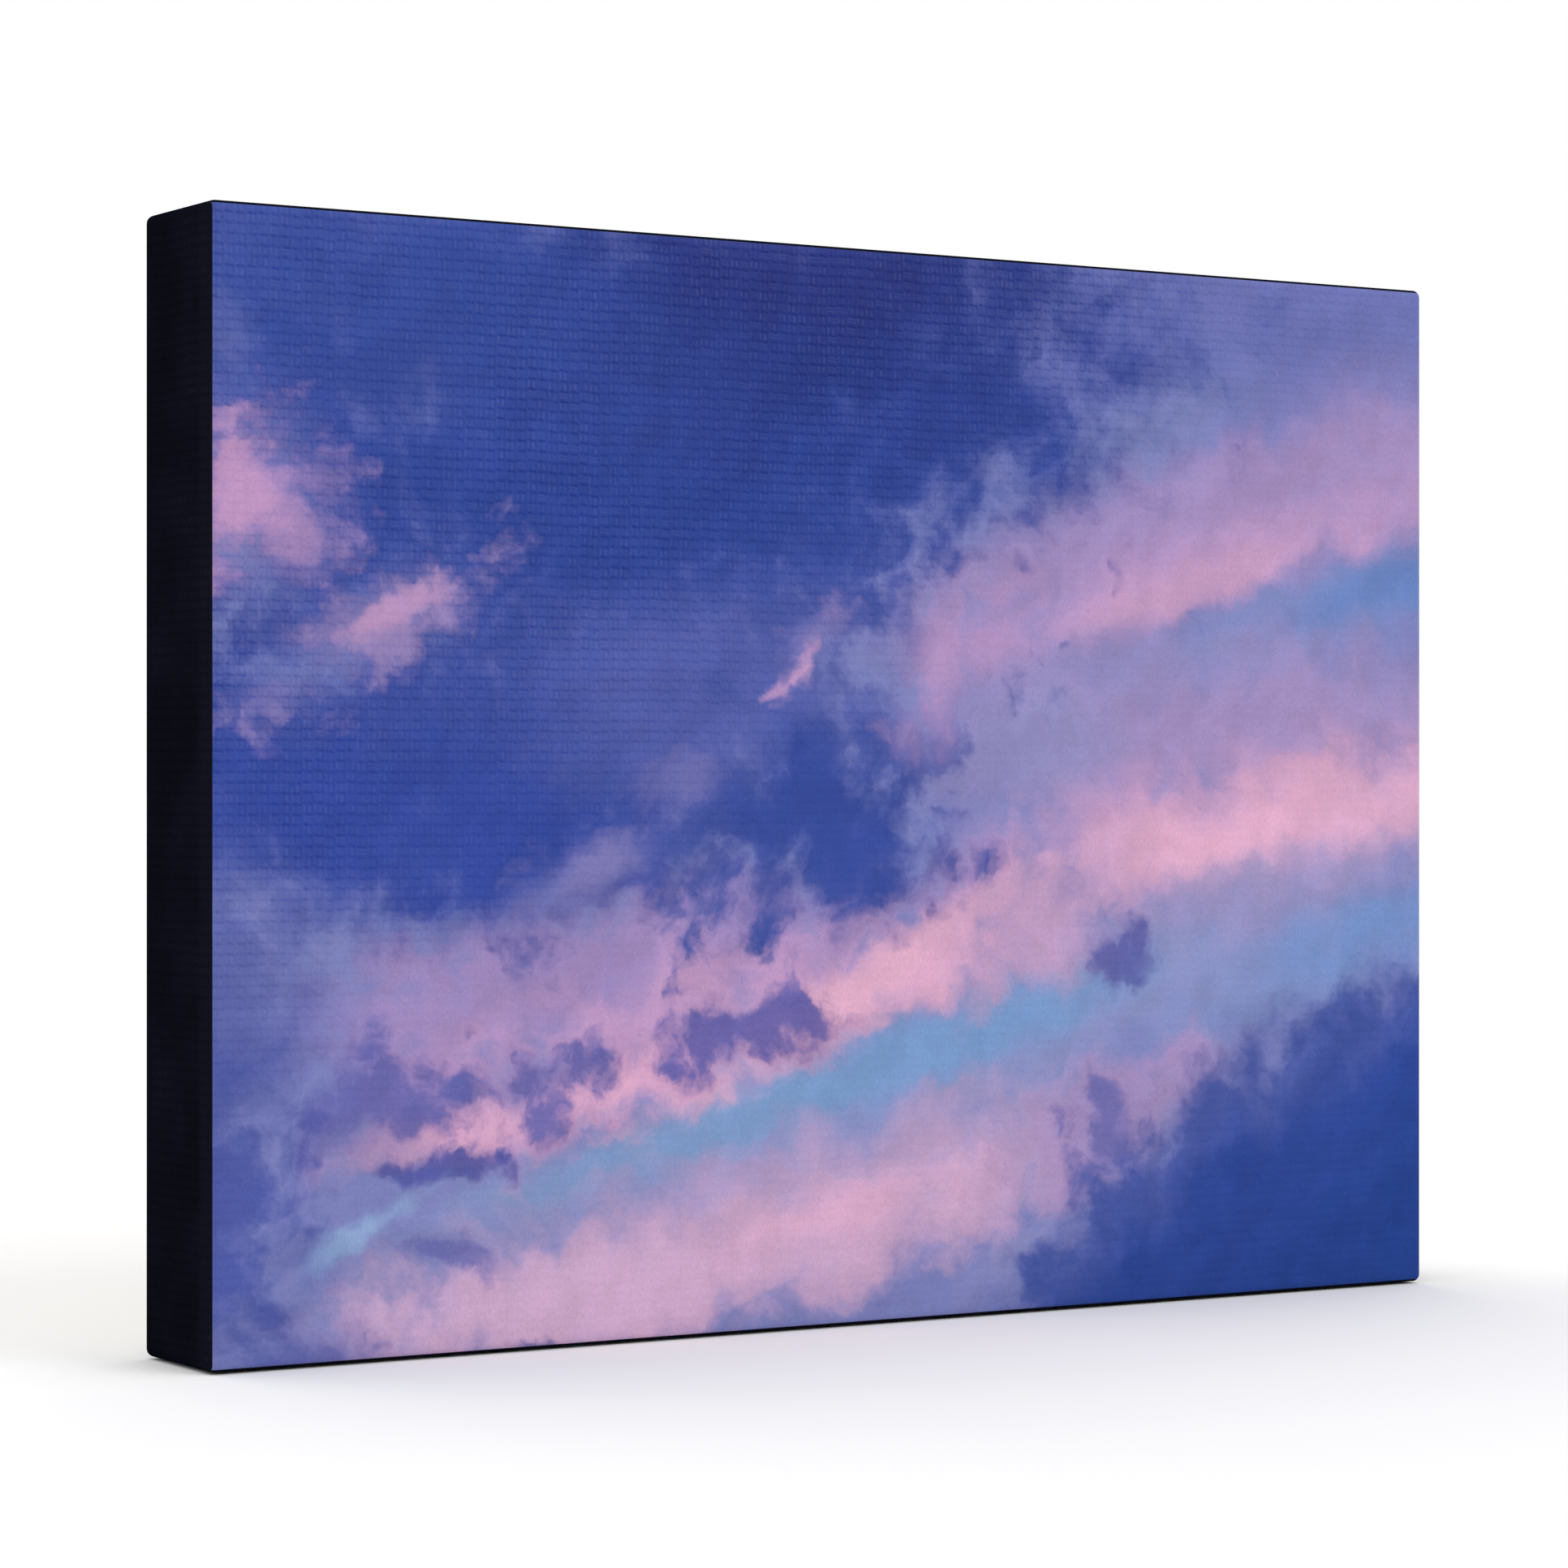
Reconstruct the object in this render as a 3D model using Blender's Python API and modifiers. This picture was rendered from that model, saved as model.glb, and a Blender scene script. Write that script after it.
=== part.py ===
"""Stretched canvas, 12 x 9 in, on stretcher bars 1 1/4 in deep.

X runs across the picture, Y from its face (-Y) to its back (+Y), Z up. The origin is the middle of
the bottom side, which the canvas stands on. Units are metres.

Four stretcher bars interlock at the corners. Every bar end is alike: two mitred cheeks, a tongue that
crosses the whole corner, and a slot that takes the neighbour's tongue and one wooden key. The cloth
wraps the bars and is stapled to their backs.
"""

import math

import bmesh
import bpy
from mathutils import Matrix, Vector

INCH = 0.0254
WIDTH = 12 * INCH
HEIGHT = 9 * INCH
DEPTH = 1.25 * INCH
GAP = 0.0003  # clearance between pieces that touch on the real object

CLOTH = 0.0005  # thickness of the primed cloth
CLOTH_RADIUS = 0.0017  # outside radius where the cloth turns an edge
FLAP = 0.024  # cloth turned onto the back, from the outer edge

WRAP = CLOTH + GAP  # from the outside of the cloth to the wood
BARS_WIDTH = WIDTH - 2 * WRAP
BARS_HEIGHT = HEIGHT - 2 * WRAP
BARS_DEPTH = DEPTH - 2 * WRAP
BAR_WIDTH = 0.038
BAR_LIP = 0.005  # flat bead that carries the cloth along the outer edge
BAR_DROP = 0.002  # step down behind the bead
BAR_RELIEF = 0.004  # clearance behind the cloth at the inner edge
BAR_INNER_RADIUS = 0.0010

LAYER = 0.005  # a tongue and a slot share the middle of the depth, one layer each
MITRE_GAP = GAP / math.sqrt(2)  # one side of the mitre's clearance, measured along the bar

KEY_LENGTH = 0.034
KEY_HEAD = 0.009
KEY_TIP = 0.004
KEY_THICKNESS = LAYER - 0.0004
KEY_INSERTED = 0.020
KEY_EDGE = 0.0004
KEY_TAPER = (KEY_HEAD - KEY_TIP) / KEY_LENGTH

STAPLE_CROWN = 0.0102
STAPLE_WIRE = 0.0007
STAPLE_BREADTH = 0.0006
STAPLE_LEG = 0.008
STAPLE_POINT = 0.0012
STAPLE_INSET = 0.0145  # middle of the crown, from the outer edge
STAPLE_FROM_CORNER = 0.030
STAPLE_TILT = math.radians(3.5)
STAPLES = {"bottom": 6, "right": 4, "top": 6, "left": 4}

HANGER_LENGTH = 0.046
HANGER_HEIGHT = 0.0085
HANGER_SHEET = 0.0008
HANGER_FOOT = 0.0085  # flat end that is nailed down
HANGER_RAISE = 0.0016
HANGER_RAMP = 0.0022
TOOTH_PITCH = 0.0022
TOOTH_HEIGHT = 0.0014
TEETH = 10

NAIL_FROM_END = 0.0042
NAIL_SHANK_RADIUS = 0.0006
NAIL_HEAD_RADIUS = 0.0016
NAIL_HEAD_HEIGHT = 0.0006
NAIL_POINT = 0.0015
NAIL_LENGTH = 0.009

BUMPER_RADIUS = 0.0048
BUMPER_TOP_RADIUS = 0.0040
BUMPER_HEIGHT = 0.0026
BUMPER_FROM_CORNER = 0.052
BARE_WOOD = (FLAP + BAR_WIDTH + WRAP) / 2  # middle of the strip that the flap leaves, from the outer edge

OVERRUN = 0.002  # how far a cutter runs past what it cuts
MERGE = 1e-6
QUARTER_TURNS = {"bottom": 0, "right": 1, "top": 2, "left": 3}
END_NAMES = {
    "bottom": ("right", "left"),
    "right": ("upper", "lower"),
    "top": ("left", "right"),
    "left": ("lower", "upper"),
}
AXES = {"X": Vector((1, 0, 0)), "Y": Vector((0, 1, 0)), "Z": Vector((0, 0, 1))}


# ---------------------------------------------------------------- scene and materials


def new_collection(name):
    collection = bpy.data.collections.new(name)
    bpy.context.scene.collection.children.link(collection)
    return collection


def new_material(name, colour, roughness, metallic=0.0):
    material = bpy.data.materials.new(name)
    material.use_nodes = True
    shader = material.node_tree.nodes["Principled BSDF"]
    shader.inputs["Base Color"].default_value = (*colour, 1)
    shader.inputs["Roughness"].default_value = roughness
    shader.inputs["Metallic"].default_value = metallic
    return material


for old in list(bpy.data.objects):
    bpy.data.objects.remove(old)
PARTS = new_collection("stretched_canvas")
CUTTERS = new_collection("cutters")
PRINTED_CLOTH = new_material("printed_cloth", (0.30, 0.30, 0.58), 0.75)
PINE = new_material("pine", (0.72, 0.52, 0.31), 0.60)
BEECH = new_material("beech", (0.66, 0.43, 0.25), 0.50)
STEEL = new_material("galvanised_steel", (0.62, 0.62, 0.63), 0.35, 1.0)
BRASS = new_material("brass_plate", (0.72, 0.56, 0.28), 0.35, 1.0)
RUBBER = new_material("grey_rubber", (0.10, 0.10, 0.11), 0.55)


# ---------------------------------------------------------------- shapes


def add(name, mesh, matrix, material):
    part = bpy.data.objects.new(name, mesh)
    part.matrix_world = matrix
    part.data.materials.append(material)
    PARTS.objects.link(part)
    return part


def add_cutter(name, mesh, matrix):
    cutter = bpy.data.objects.new(name, mesh)
    cutter.matrix_world = matrix
    cutter.display_type = "WIRE"
    cutter.hide_render = True
    CUTTERS.objects.link(cutter)
    return cutter


def boolean(part, cutter, operation="DIFFERENCE"):
    modifier = part.modifiers.new(cutter.name, "BOOLEAN")
    modifier.operation = operation
    modifier.object = cutter


def bevel(part, width, segments):
    modifier = part.modifiers.new("bevel", "BEVEL")
    modifier.width = width
    modifier.segments = segments
    modifier.limit_method = "ANGLE"
    modifier.angle_limit = math.radians(30)


def boxes(name, size, matrices):
    """Equal boxes in one mesh, each centred on the origin of its own matrix."""
    body = bmesh.new()
    for matrix in matrices:
        bmesh.ops.create_cube(body, size=1, matrix=matrix @ Matrix.Diagonal((*size, 1)))
    mesh = bpy.data.meshes.new(name)
    body.to_mesh(mesh)
    body.free()
    return mesh


def prism(name, outline, thickness, across, up):
    """A flat outline in the plane of two axes, extruded evenly to both sides of it."""
    curve = bpy.data.curves.new(name, "CURVE")
    curve.dimensions = "2D"
    curve.fill_mode = "BOTH"
    curve.extrude = thickness / 2
    spline = curve.splines.new("POLY")
    spline.points.add(len(outline) - 1)
    for point, (first, second) in zip(spline.points, outline):
        point.co = (first, second, 0, 1)
    spline.use_cyclic_u = True
    flat = bpy.data.objects.new(name, curve)
    CUTTERS.objects.link(flat)
    evaluated = flat.evaluated_get(bpy.context.evaluated_depsgraph_get())
    mesh = bpy.data.meshes.new_from_object(evaluated)
    bpy.data.objects.remove(flat)
    bpy.data.curves.remove(curve)

    body = bmesh.new()
    body.from_mesh(mesh)
    bmesh.ops.remove_doubles(body, verts=body.verts, dist=MERGE)
    bmesh.ops.recalc_face_normals(body, faces=body.faces)
    body.to_mesh(mesh)
    body.free()
    first, second = AXES[across], AXES[up]
    mesh.transform(Matrix((first, second, first.cross(second))).transposed().to_4x4())
    mesh.shade_flat()
    return mesh


def turned(name, profile, matrix, material, steps):
    """A profile of (radius, height) points, listed from the top down, turned about local Z."""
    mesh = bpy.data.meshes.new(name)
    points = [(radius, 0, height) for radius, height in profile]
    mesh.from_pydata(points, [(i, i + 1) for i in range(len(points) - 1)], [])
    part = add(name, mesh, matrix, material)
    screw = part.modifiers.new("turn", "SCREW")
    screw.steps = screw.render_steps = steps
    screw.use_merge_vertices = True
    screw.merge_threshold = MERGE
    return part


def arc(centre, radius, start, end, steps):
    """Points on an arc, its angles in degrees."""
    angles = [math.radians(start + (end - start) * step / steps) for step in range(steps + 1)]
    return [(centre[0] + radius * math.cos(a), centre[1] + radius * math.sin(a)) for a in angles]


# ---------------------------------------------------------------- places

MIDDLE = Matrix.Translation((0, 0, HEIGHT / 2))
END_TURNS = (Matrix.Identity(4), Matrix.Rotation(math.pi, 4, "Z"))  # a bar's +X end, its -X end
OUT_OF_BACK = Matrix.Rotation(-math.pi / 2, 4, "X")  # takes local Z to +Y


def bar_size(side):
    """A bar's length, and its outer face's distance from the middle of the frame."""
    if side in ("bottom", "top"):
        return BARS_WIDTH, BARS_HEIGHT / 2
    return BARS_HEIGHT, BARS_WIDTH / 2


def bar_frame(side):
    """Local X runs along the bar, Y to the back, Z from its outer face to the frame's middle."""
    turn = Matrix.Rotation(-math.pi / 2 * QUARTER_TURNS[side], 4, "Y")
    return MIDDLE @ turn @ Matrix.Translation((0, 0, -bar_size(side)[1]))


def end_frames(side):
    """Name and frame of each end of a bar: the bar's frame moved there, with local X pointing out."""
    reach = Matrix.Translation((bar_size(side)[0] / 2, 0, 0))
    return [(name, bar_frame(side) @ turn @ reach) for name, turn in zip(END_NAMES[side], END_TURNS)]


def on_back(side, along, inset, height=0.0):
    """A frame on the bars' back plane: along the bar, in from the cloth's outer edge, and off the wood."""
    return bar_frame(side) @ Matrix.Translation((along, BARS_DEPTH / 2 + height, inset - WRAP))


# ---------------------------------------------------------------- stretcher bars


def bar_outline():
    """Section of a bar, (Y, Z), oversize wherever the frame's rounded envelope trims it."""
    front, back = -BARS_DEPTH / 2, BARS_DEPTH / 2
    radius = BAR_INNER_RADIUS
    return [
        (back + OVERRUN, -OVERRUN),
        (front - OVERRUN, -OVERRUN),
        (front - OVERRUN, BAR_LIP),
        (front, BAR_LIP),
        (front + BAR_DROP, BAR_LIP + BAR_DROP),
        *arc((front + BAR_RELIEF + radius, BAR_WIDTH - radius), radius, 180, 90, 3),
        *arc((back - radius, BAR_WIDTH - radius), radius, 90, 0, 3),
        (back, BAR_LIP),
        (back + OVERRUN, BAR_LIP),
    ]


def corner_cutters():
    """Meshes that shape a bar's end. Local X = 0 is the end, and Z = 0 the outer face."""
    beyond, width, over = OVERRUN, BAR_WIDTH, OVERRUN
    mitre = [(over - MITRE_GAP, -over), (3 * beyond, -over), (3 * beyond, width + over),
             (-MITRE_GAP - width - over, width + over)]
    cheek = BARS_DEPTH / 2 + OVERRUN - LAYER
    clear = GAP / 2

    def shoulder(height):
        room = KEY_TIP + KEY_TAPER * (height - (width - KEY_INSERTED)) + 2 * GAP
        return -width - room, height

    slot = [(beyond, -over), (beyond, width + over), shoulder(width + over), shoulder(-over)]
    front = prism("mitre_front", mitre, cheek + clear, "X", "Z")
    front.transform(Matrix.Translation((0, -LAYER - (cheek - clear) / 2, 0)))
    back = prism("mitre_back", mitre, cheek + LAYER + clear, "X", "Z")
    back.transform(Matrix.Translation((0, (cheek + LAYER - clear) / 2, 0)))
    middle = prism("slot", slot, LAYER + 2 * clear, "X", "Z")
    middle.transform(Matrix.Translation((0, LAYER / 2, 0)))
    return front, back, middle


def build_bars(pin_holes):
    envelope = add_cutter(
        "envelope", boxes("envelope", (BARS_WIDTH, BARS_DEPTH, BARS_HEIGHT), [Matrix.Identity(4)]), MIDDLE
    )
    bevel(envelope, CLOTH_RADIUS - WRAP, 3)
    cutter_meshes = corner_cutters()
    for side in QUARTER_TURNS:
        length = bar_size(side)[0] + 2 * OVERRUN
        bar = add(f"bar_{side}", prism("bar", bar_outline(), length, "Y", "Z"), bar_frame(side), PINE)
        boolean(bar, envelope, "INTERSECT")
        for end, frame in end_frames(side):
            for mesh in cutter_meshes:
                boolean(bar, add_cutter(f"{mesh.name}_{side}_{end}", mesh, frame))
        for holes in pin_holes:
            boolean(bar, holes)


# ---------------------------------------------------------------- corner keys


def build_keys():
    """One key a slot, pushed in from the frame's opening along the neighbour's inner edge."""
    outline = [(0, 0), (0, KEY_LENGTH), (-KEY_HEAD, KEY_LENGTH), (-KEY_TIP, 0)]
    mesh = prism("key", outline, KEY_THICKNESS, "X", "Z")
    mesh.materials.append(BEECH)
    tip = Matrix.Translation((-BAR_WIDTH - GAP, LAYER / 2, BAR_WIDTH - KEY_INSERTED))
    for side in QUARTER_TURNS:
        for end, frame in end_frames(side):
            key = bpy.data.objects.new(f"key_{side}_{end}", mesh)
            key.matrix_world = frame @ tip
            PARTS.objects.link(key)
            bevel(key, KEY_EDGE, 2)


# ---------------------------------------------------------------- cloth


def build_cloth(pin_holes):
    """A box wrapped round the bars, open at the back inside the turned flaps."""
    body = bmesh.new()
    bmesh.ops.create_cube(body, size=1, matrix=Matrix.Diagonal((WIDTH, DEPTH, HEIGHT, 1)))
    body.faces.ensure_lookup_table()
    back = max(body.faces, key=lambda face: face.calc_center_median().y)
    bmesh.ops.inset_region(body, faces=[back], thickness=FLAP, use_even_offset=True)
    bmesh.ops.delete(body, geom=[back], context="FACES")
    mesh = bpy.data.meshes.new("canvas")
    body.to_mesh(mesh)
    body.free()
    cloth = add("canvas", mesh, MIDDLE, PRINTED_CLOTH)
    bevel(cloth, CLOTH_RADIUS, 4)
    thicken = cloth.modifiers.new("thickness", "SOLIDIFY")
    thicken.thickness = CLOTH
    thicken.offset = -1
    thicken.use_even_offset = True
    for holes in pin_holes:
        boolean(cloth, holes)


# ---------------------------------------------------------------- staples


def staple_frames():
    """Name and frame of each staple, its crown's middle on the cloth's back and Y pointing out."""
    frames = []
    for side, count in STAPLES.items():
        span = bar_size(side)[0] - 2 * (STAPLE_FROM_CORNER - WRAP)
        for index in range(count):
            along = span * (index / (count - 1) - 0.5)
            tilt = STAPLE_TILT * math.sin(2.4 * index + QUARTER_TURNS[side])
            place = on_back(side, along, STAPLE_INSET, CLOTH + 2 * GAP)
            frames.append((f"staple_{side}_{index + 1}", place @ Matrix.Rotation(tilt, 4, "Y")))
    return frames


def staple_holes(frames):
    leg = (STAPLE_CROWN - STAPLE_WIRE) / 2
    middle = -STAPLE_LEG / 2
    size = (STAPLE_WIRE + 2 * GAP, STAPLE_LEG + 2 * GAP, STAPLE_BREADTH + 2 * GAP)
    matrices = [
        frame @ Matrix.Translation((x, middle, 0)) for name, frame in frames for x in (-leg, leg)
    ]
    return add_cutter("staple_holes", boxes("staple_holes", size, matrices), Matrix.Identity(4))


def build_staples(frames):
    half, inner = STAPLE_CROWN / 2, STAPLE_CROWN / 2 - STAPLE_WIRE
    top, low = STAPLE_WIRE, STAPLE_WIRE - STAPLE_LEG
    outline = [
        (-half, top), (half, top), (half, low), (inner, low + STAPLE_POINT), (inner, 0),
        (-inner, 0), (-inner, low + STAPLE_POINT), (-half, low),
    ]
    mesh = prism("staple", outline, STAPLE_BREADTH, "X", "Y")
    mesh.materials.append(STEEL)
    for name, frame in frames:
        staple = bpy.data.objects.new(name, mesh)
        staple.matrix_world = frame
        PARTS.objects.link(staple)


# ---------------------------------------------------------------- sawtooth hanger


def nail_frames():
    """Each nail stands in the middle of one flat foot of the hanger, its head just off the plate."""
    reach = HANGER_LENGTH / 2 - NAIL_FROM_END
    height = HANGER_SHEET + 2 * GAP
    return {
        name: on_back("top", along, BARE_WOOD, height) @ OUT_OF_BACK
        for name, along in (("hanger_nail_right", -reach), ("hanger_nail_left", reach))
    }


def nail_holes(frames):
    size = 2 * (NAIL_SHANK_RADIUS + GAP)
    depth = 2 * (NAIL_LENGTH + GAP)
    return add_cutter(
        "nail_holes", boxes("nail_holes", (size, size, depth), frames.values()), Matrix.Identity(4)
    )


def build_hanger(holes):
    """A strip of sheet, its middle raised off the wood, with teeth along the edge facing down."""
    half, foot, ramp = HANGER_LENGTH / 2, HANGER_LENGTH / 2 - HANGER_FOOT, HANGER_RAMP
    low, high = [(half, 0), (foot, 0)], [(foot - ramp, HANGER_RAISE)]
    under = low + high + [(-x, y) for x, y in reversed(low + high)]
    over = [(x, y + HANGER_SHEET) for x, y in reversed(under)]
    place = on_back("top", 0, BARE_WOOD, GAP)
    hanger = add("hanger", prism("hanger", under + over, HANGER_HEIGHT, "X", "Y"), place, BRASS)
    edge = HANGER_HEIGHT / 2
    first = -TEETH * TOOTH_PITCH / 2
    tooth = [(0, OVERRUN), (0, 0), (TOOTH_PITCH / 2, -TOOTH_HEIGHT), (TOOTH_PITCH, 0)]
    comb = [(first + index * TOOTH_PITCH + x, edge + z) for index in range(TEETH) for x, z in tooth[1:3]]
    comb += [(-first, edge), (-first, edge + OVERRUN), (first, edge + OVERRUN)]
    boolean(hanger, add_cutter("teeth", prism("teeth", comb, 4 * HANGER_RAISE, "X", "Z"), place))
    boolean(hanger, holes)


def build_nails(frames):
    head, shank = NAIL_HEAD_RADIUS, NAIL_SHANK_RADIUS
    profile = [
        (0, NAIL_HEAD_HEIGHT), (0.75 * head, 0.8 * NAIL_HEAD_HEIGHT), (head, 0.3 * NAIL_HEAD_HEIGHT),
        (head, 0), (shank, 0), (shank, NAIL_POINT - NAIL_LENGTH), (0, -NAIL_LENGTH),
    ]
    for name, frame in frames.items():
        turned(name, profile, frame, BRASS, 16)


# ---------------------------------------------------------------- bumpers


def build_bumpers():
    """Soft pads on the bare wood of the bottom bar, which keep the back off a wall."""
    edge = BUMPER_RADIUS - BUMPER_TOP_RADIUS
    shoulder = arc((BUMPER_TOP_RADIUS - edge, BUMPER_HEIGHT - edge), edge, 90, 20, 3)
    profile = [(0, BUMPER_HEIGHT), *shoulder, (BUMPER_RADIUS, 0), (0, 0)]
    reach = WIDTH / 2 - BUMPER_FROM_CORNER
    for name, along in (("bumper_left", -reach), ("bumper_right", reach)):
        turned(name, profile, on_back("bottom", along, BARE_WOOD, GAP) @ OUT_OF_BACK, RUBBER, 24)


STAPLE_FRAMES = staple_frames()
NAIL_FRAMES = nail_frames()
STAPLE_HOLES = staple_holes(STAPLE_FRAMES)
NAIL_HOLES = nail_holes(NAIL_FRAMES)
build_bars((STAPLE_HOLES, NAIL_HOLES))
build_keys()
build_cloth((STAPLE_HOLES,))
build_staples(STAPLE_FRAMES)
build_hanger(NAIL_HOLES)
build_nails(NAIL_FRAMES)
build_bumpers()
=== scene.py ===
"""Visual model of a stretched canvas: a printed cloth over a wooden stretcher frame.

The frame's bars, keys, staples, hanger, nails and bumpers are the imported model's own parts with finer
materials. The cloth is built here: its printed front, its turned border and its bare reverse. X runs
across the picture, Y from its face to its back, Z up. Units are metres.
"""

import math
import random

import bpy
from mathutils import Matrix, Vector, noise


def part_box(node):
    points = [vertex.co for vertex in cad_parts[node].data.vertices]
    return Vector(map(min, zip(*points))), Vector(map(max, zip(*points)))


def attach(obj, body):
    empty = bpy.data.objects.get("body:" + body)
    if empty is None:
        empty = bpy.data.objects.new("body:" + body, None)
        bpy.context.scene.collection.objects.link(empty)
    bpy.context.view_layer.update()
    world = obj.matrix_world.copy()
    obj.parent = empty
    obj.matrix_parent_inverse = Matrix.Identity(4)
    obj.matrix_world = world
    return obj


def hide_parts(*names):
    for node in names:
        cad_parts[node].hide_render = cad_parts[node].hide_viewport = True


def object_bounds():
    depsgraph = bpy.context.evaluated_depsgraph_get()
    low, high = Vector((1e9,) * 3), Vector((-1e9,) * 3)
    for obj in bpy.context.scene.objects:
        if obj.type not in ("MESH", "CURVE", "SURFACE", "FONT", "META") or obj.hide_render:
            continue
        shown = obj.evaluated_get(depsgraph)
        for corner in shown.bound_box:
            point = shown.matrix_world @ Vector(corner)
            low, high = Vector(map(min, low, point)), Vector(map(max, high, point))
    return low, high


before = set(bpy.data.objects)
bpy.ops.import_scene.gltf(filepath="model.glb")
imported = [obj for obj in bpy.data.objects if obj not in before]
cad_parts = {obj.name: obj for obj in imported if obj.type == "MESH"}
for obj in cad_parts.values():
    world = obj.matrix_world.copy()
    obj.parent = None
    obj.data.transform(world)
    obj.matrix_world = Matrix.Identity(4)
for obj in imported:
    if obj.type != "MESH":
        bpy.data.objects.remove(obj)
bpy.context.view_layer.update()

MM = 0.001
LOW, HIGH = (Vector(corner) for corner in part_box("canvas"))
WIDTH = HIGH.x - LOW.x
HEIGHT = HIGH.z - LOW.z
FRONT = LOW.y
BACK = HIGH.y
WOOD_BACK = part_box("bar_top")[1][1]

CLOTH = 0.5 * MM  # thickness of the primed cloth
ROUND = 1.7 * MM  # radius of the cloth where it turns an edge
FLAP = 24 * MM  # cloth turned onto the back, from the outer edge
REVERSE_INSET = 5.8 * MM  # where the bars' lips start to hide the reverse of the front
PRINT_TURN = 38  # degrees of the front rounding that the picture covers before the black starts

FOLD_FROM_EDGE = 1.7 * MM  # corner fold on the top and bottom, from where the side flattens
FOLD_STEP = 0.42 * MM
FOLD_START = 4 * MM  # behind the face
FLAP_LIFT = 0.48 * MM  # how far the turned cloth stands off its nominal place
STAPLED_LIFT = 0.30 * MM  # the same under a staple's crown
MITRE_LIFT = 0.75 * MM  # folded layers at the corners of the top and bottom flaps
BLACK_ON_BACK = 8.5 * MM  # ink turned onto the back, from the outer edge
STAPLE_INSET = 14.5 * MM  # middle of a staple's crown, from the outer edge
STAPLE_HALF = 5.1 * MM

# -------- shader graphs


class Graph:
    """Adds nodes to a new material. Inputs are numbers, colours, vectors or other nodes' outputs, and each
    call gives back the new node's own output."""

    def __init__(self, name):
        self.material = bpy.data.materials.new(name)
        self.material.use_nodes = True
        self.tree = self.material.node_tree
        self.tree.nodes.clear()

    def node(self, kind, inputs=None, out=0, **settings):
        node = self.tree.nodes.new("ShaderNode" + kind)
        for name, value in settings.items():
            setattr(node, name, value)
        for name, value in (inputs or {}).items():
            self.feed(node.inputs[name], value)
        return node.outputs[out]

    def feed(self, socket, value):
        if isinstance(value, bpy.types.NodeSocket):
            self.tree.links.new(value, socket)
        elif socket.type == "RGBA" and len(value) == 3:
            socket.default_value = (*value, 1)
        else:
            socket.default_value = value

    def math(self, operation, *values, clamp=False):
        return self.node("Math", dict(enumerate(values)), operation=operation, use_clamp=clamp)

    def vector(self, operation, *values):
        inputs = dict(enumerate(values))
        if operation == "SCALE":
            inputs = {"Vector": values[0], "Scale": values[1]}
        return self.node("VectorMath", inputs, operation=operation)

    def xyz(self, x=0.0, y=0.0, z=0.0):
        return self.node("CombineXYZ", {"X": x, "Y": y, "Z": z})

    def place(self):
        """Place on the object in metres, as X, Y and Z. Every piece has its origin at the frame's."""
        where = self.node("TexCoord", out=3)
        return where, *(self.node("SeparateXYZ", {"Vector": where}, axis) for axis in range(3))

    def mix(self, factor, first, second, blend="MIX"):
        inputs = {0: factor, 6: first, 7: second}
        return self.node("Mix", inputs, 2, data_type="RGBA", blend_type=blend)

    def blend(self, factor, first, second):
        return self.node("Mix", {0: factor, 2: first, 3: second})

    def ramp(self, value, low, high, to_low=0.0, to_high=1.0):
        """Goes smoothly from to_low to to_high as the value goes from low to high, and stays there."""
        inputs = {"Value": value, "From Min": low, "From Max": high, "To Min": to_low, "To Max": to_high}
        return self.node("MapRange", inputs, interpolation_type="SMOOTHSTEP")

    def noise(self, where, scale, detail=3.0, roughness=0.5, out=0, flat=False):
        inputs = {"Vector": where, "Scale": scale, "Detail": detail, "Roughness": roughness}
        return self.node("TexNoise", inputs, out, noise_dimensions="2D" if flat else "3D")

    def bump(self, height, strength, distance):
        return self.node("Bump", {"Height": height, "Strength": strength, "Distance": distance})

    def shade(self, colour, roughness, normal, **constants):
        """Ends the graph in a Principled BSDF. Constants go on the shader's own sockets."""
        inputs = {"Base Color": colour, "Roughness": roughness, "Normal": normal}
        inputs.update({name.replace("_", " "): value for name, value in constants.items()})
        surface = self.node("BsdfPrincipled", inputs)
        output = self.tree.nodes.new("ShaderNodeOutputMaterial")
        self.tree.links.new(surface, output.inputs["Surface"])
        return self.material


def srgb(code):
    """Linear colour from a six-digit sRGB code."""
    values = [int(code[start : start + 2], 16) / 255 for start in (0, 2, 4)]
    return tuple(v / 12.92 if v <= 0.04045 else ((v + 0.055) / 1.055) ** 2.4 for v in values)


# -------- the picture

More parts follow.
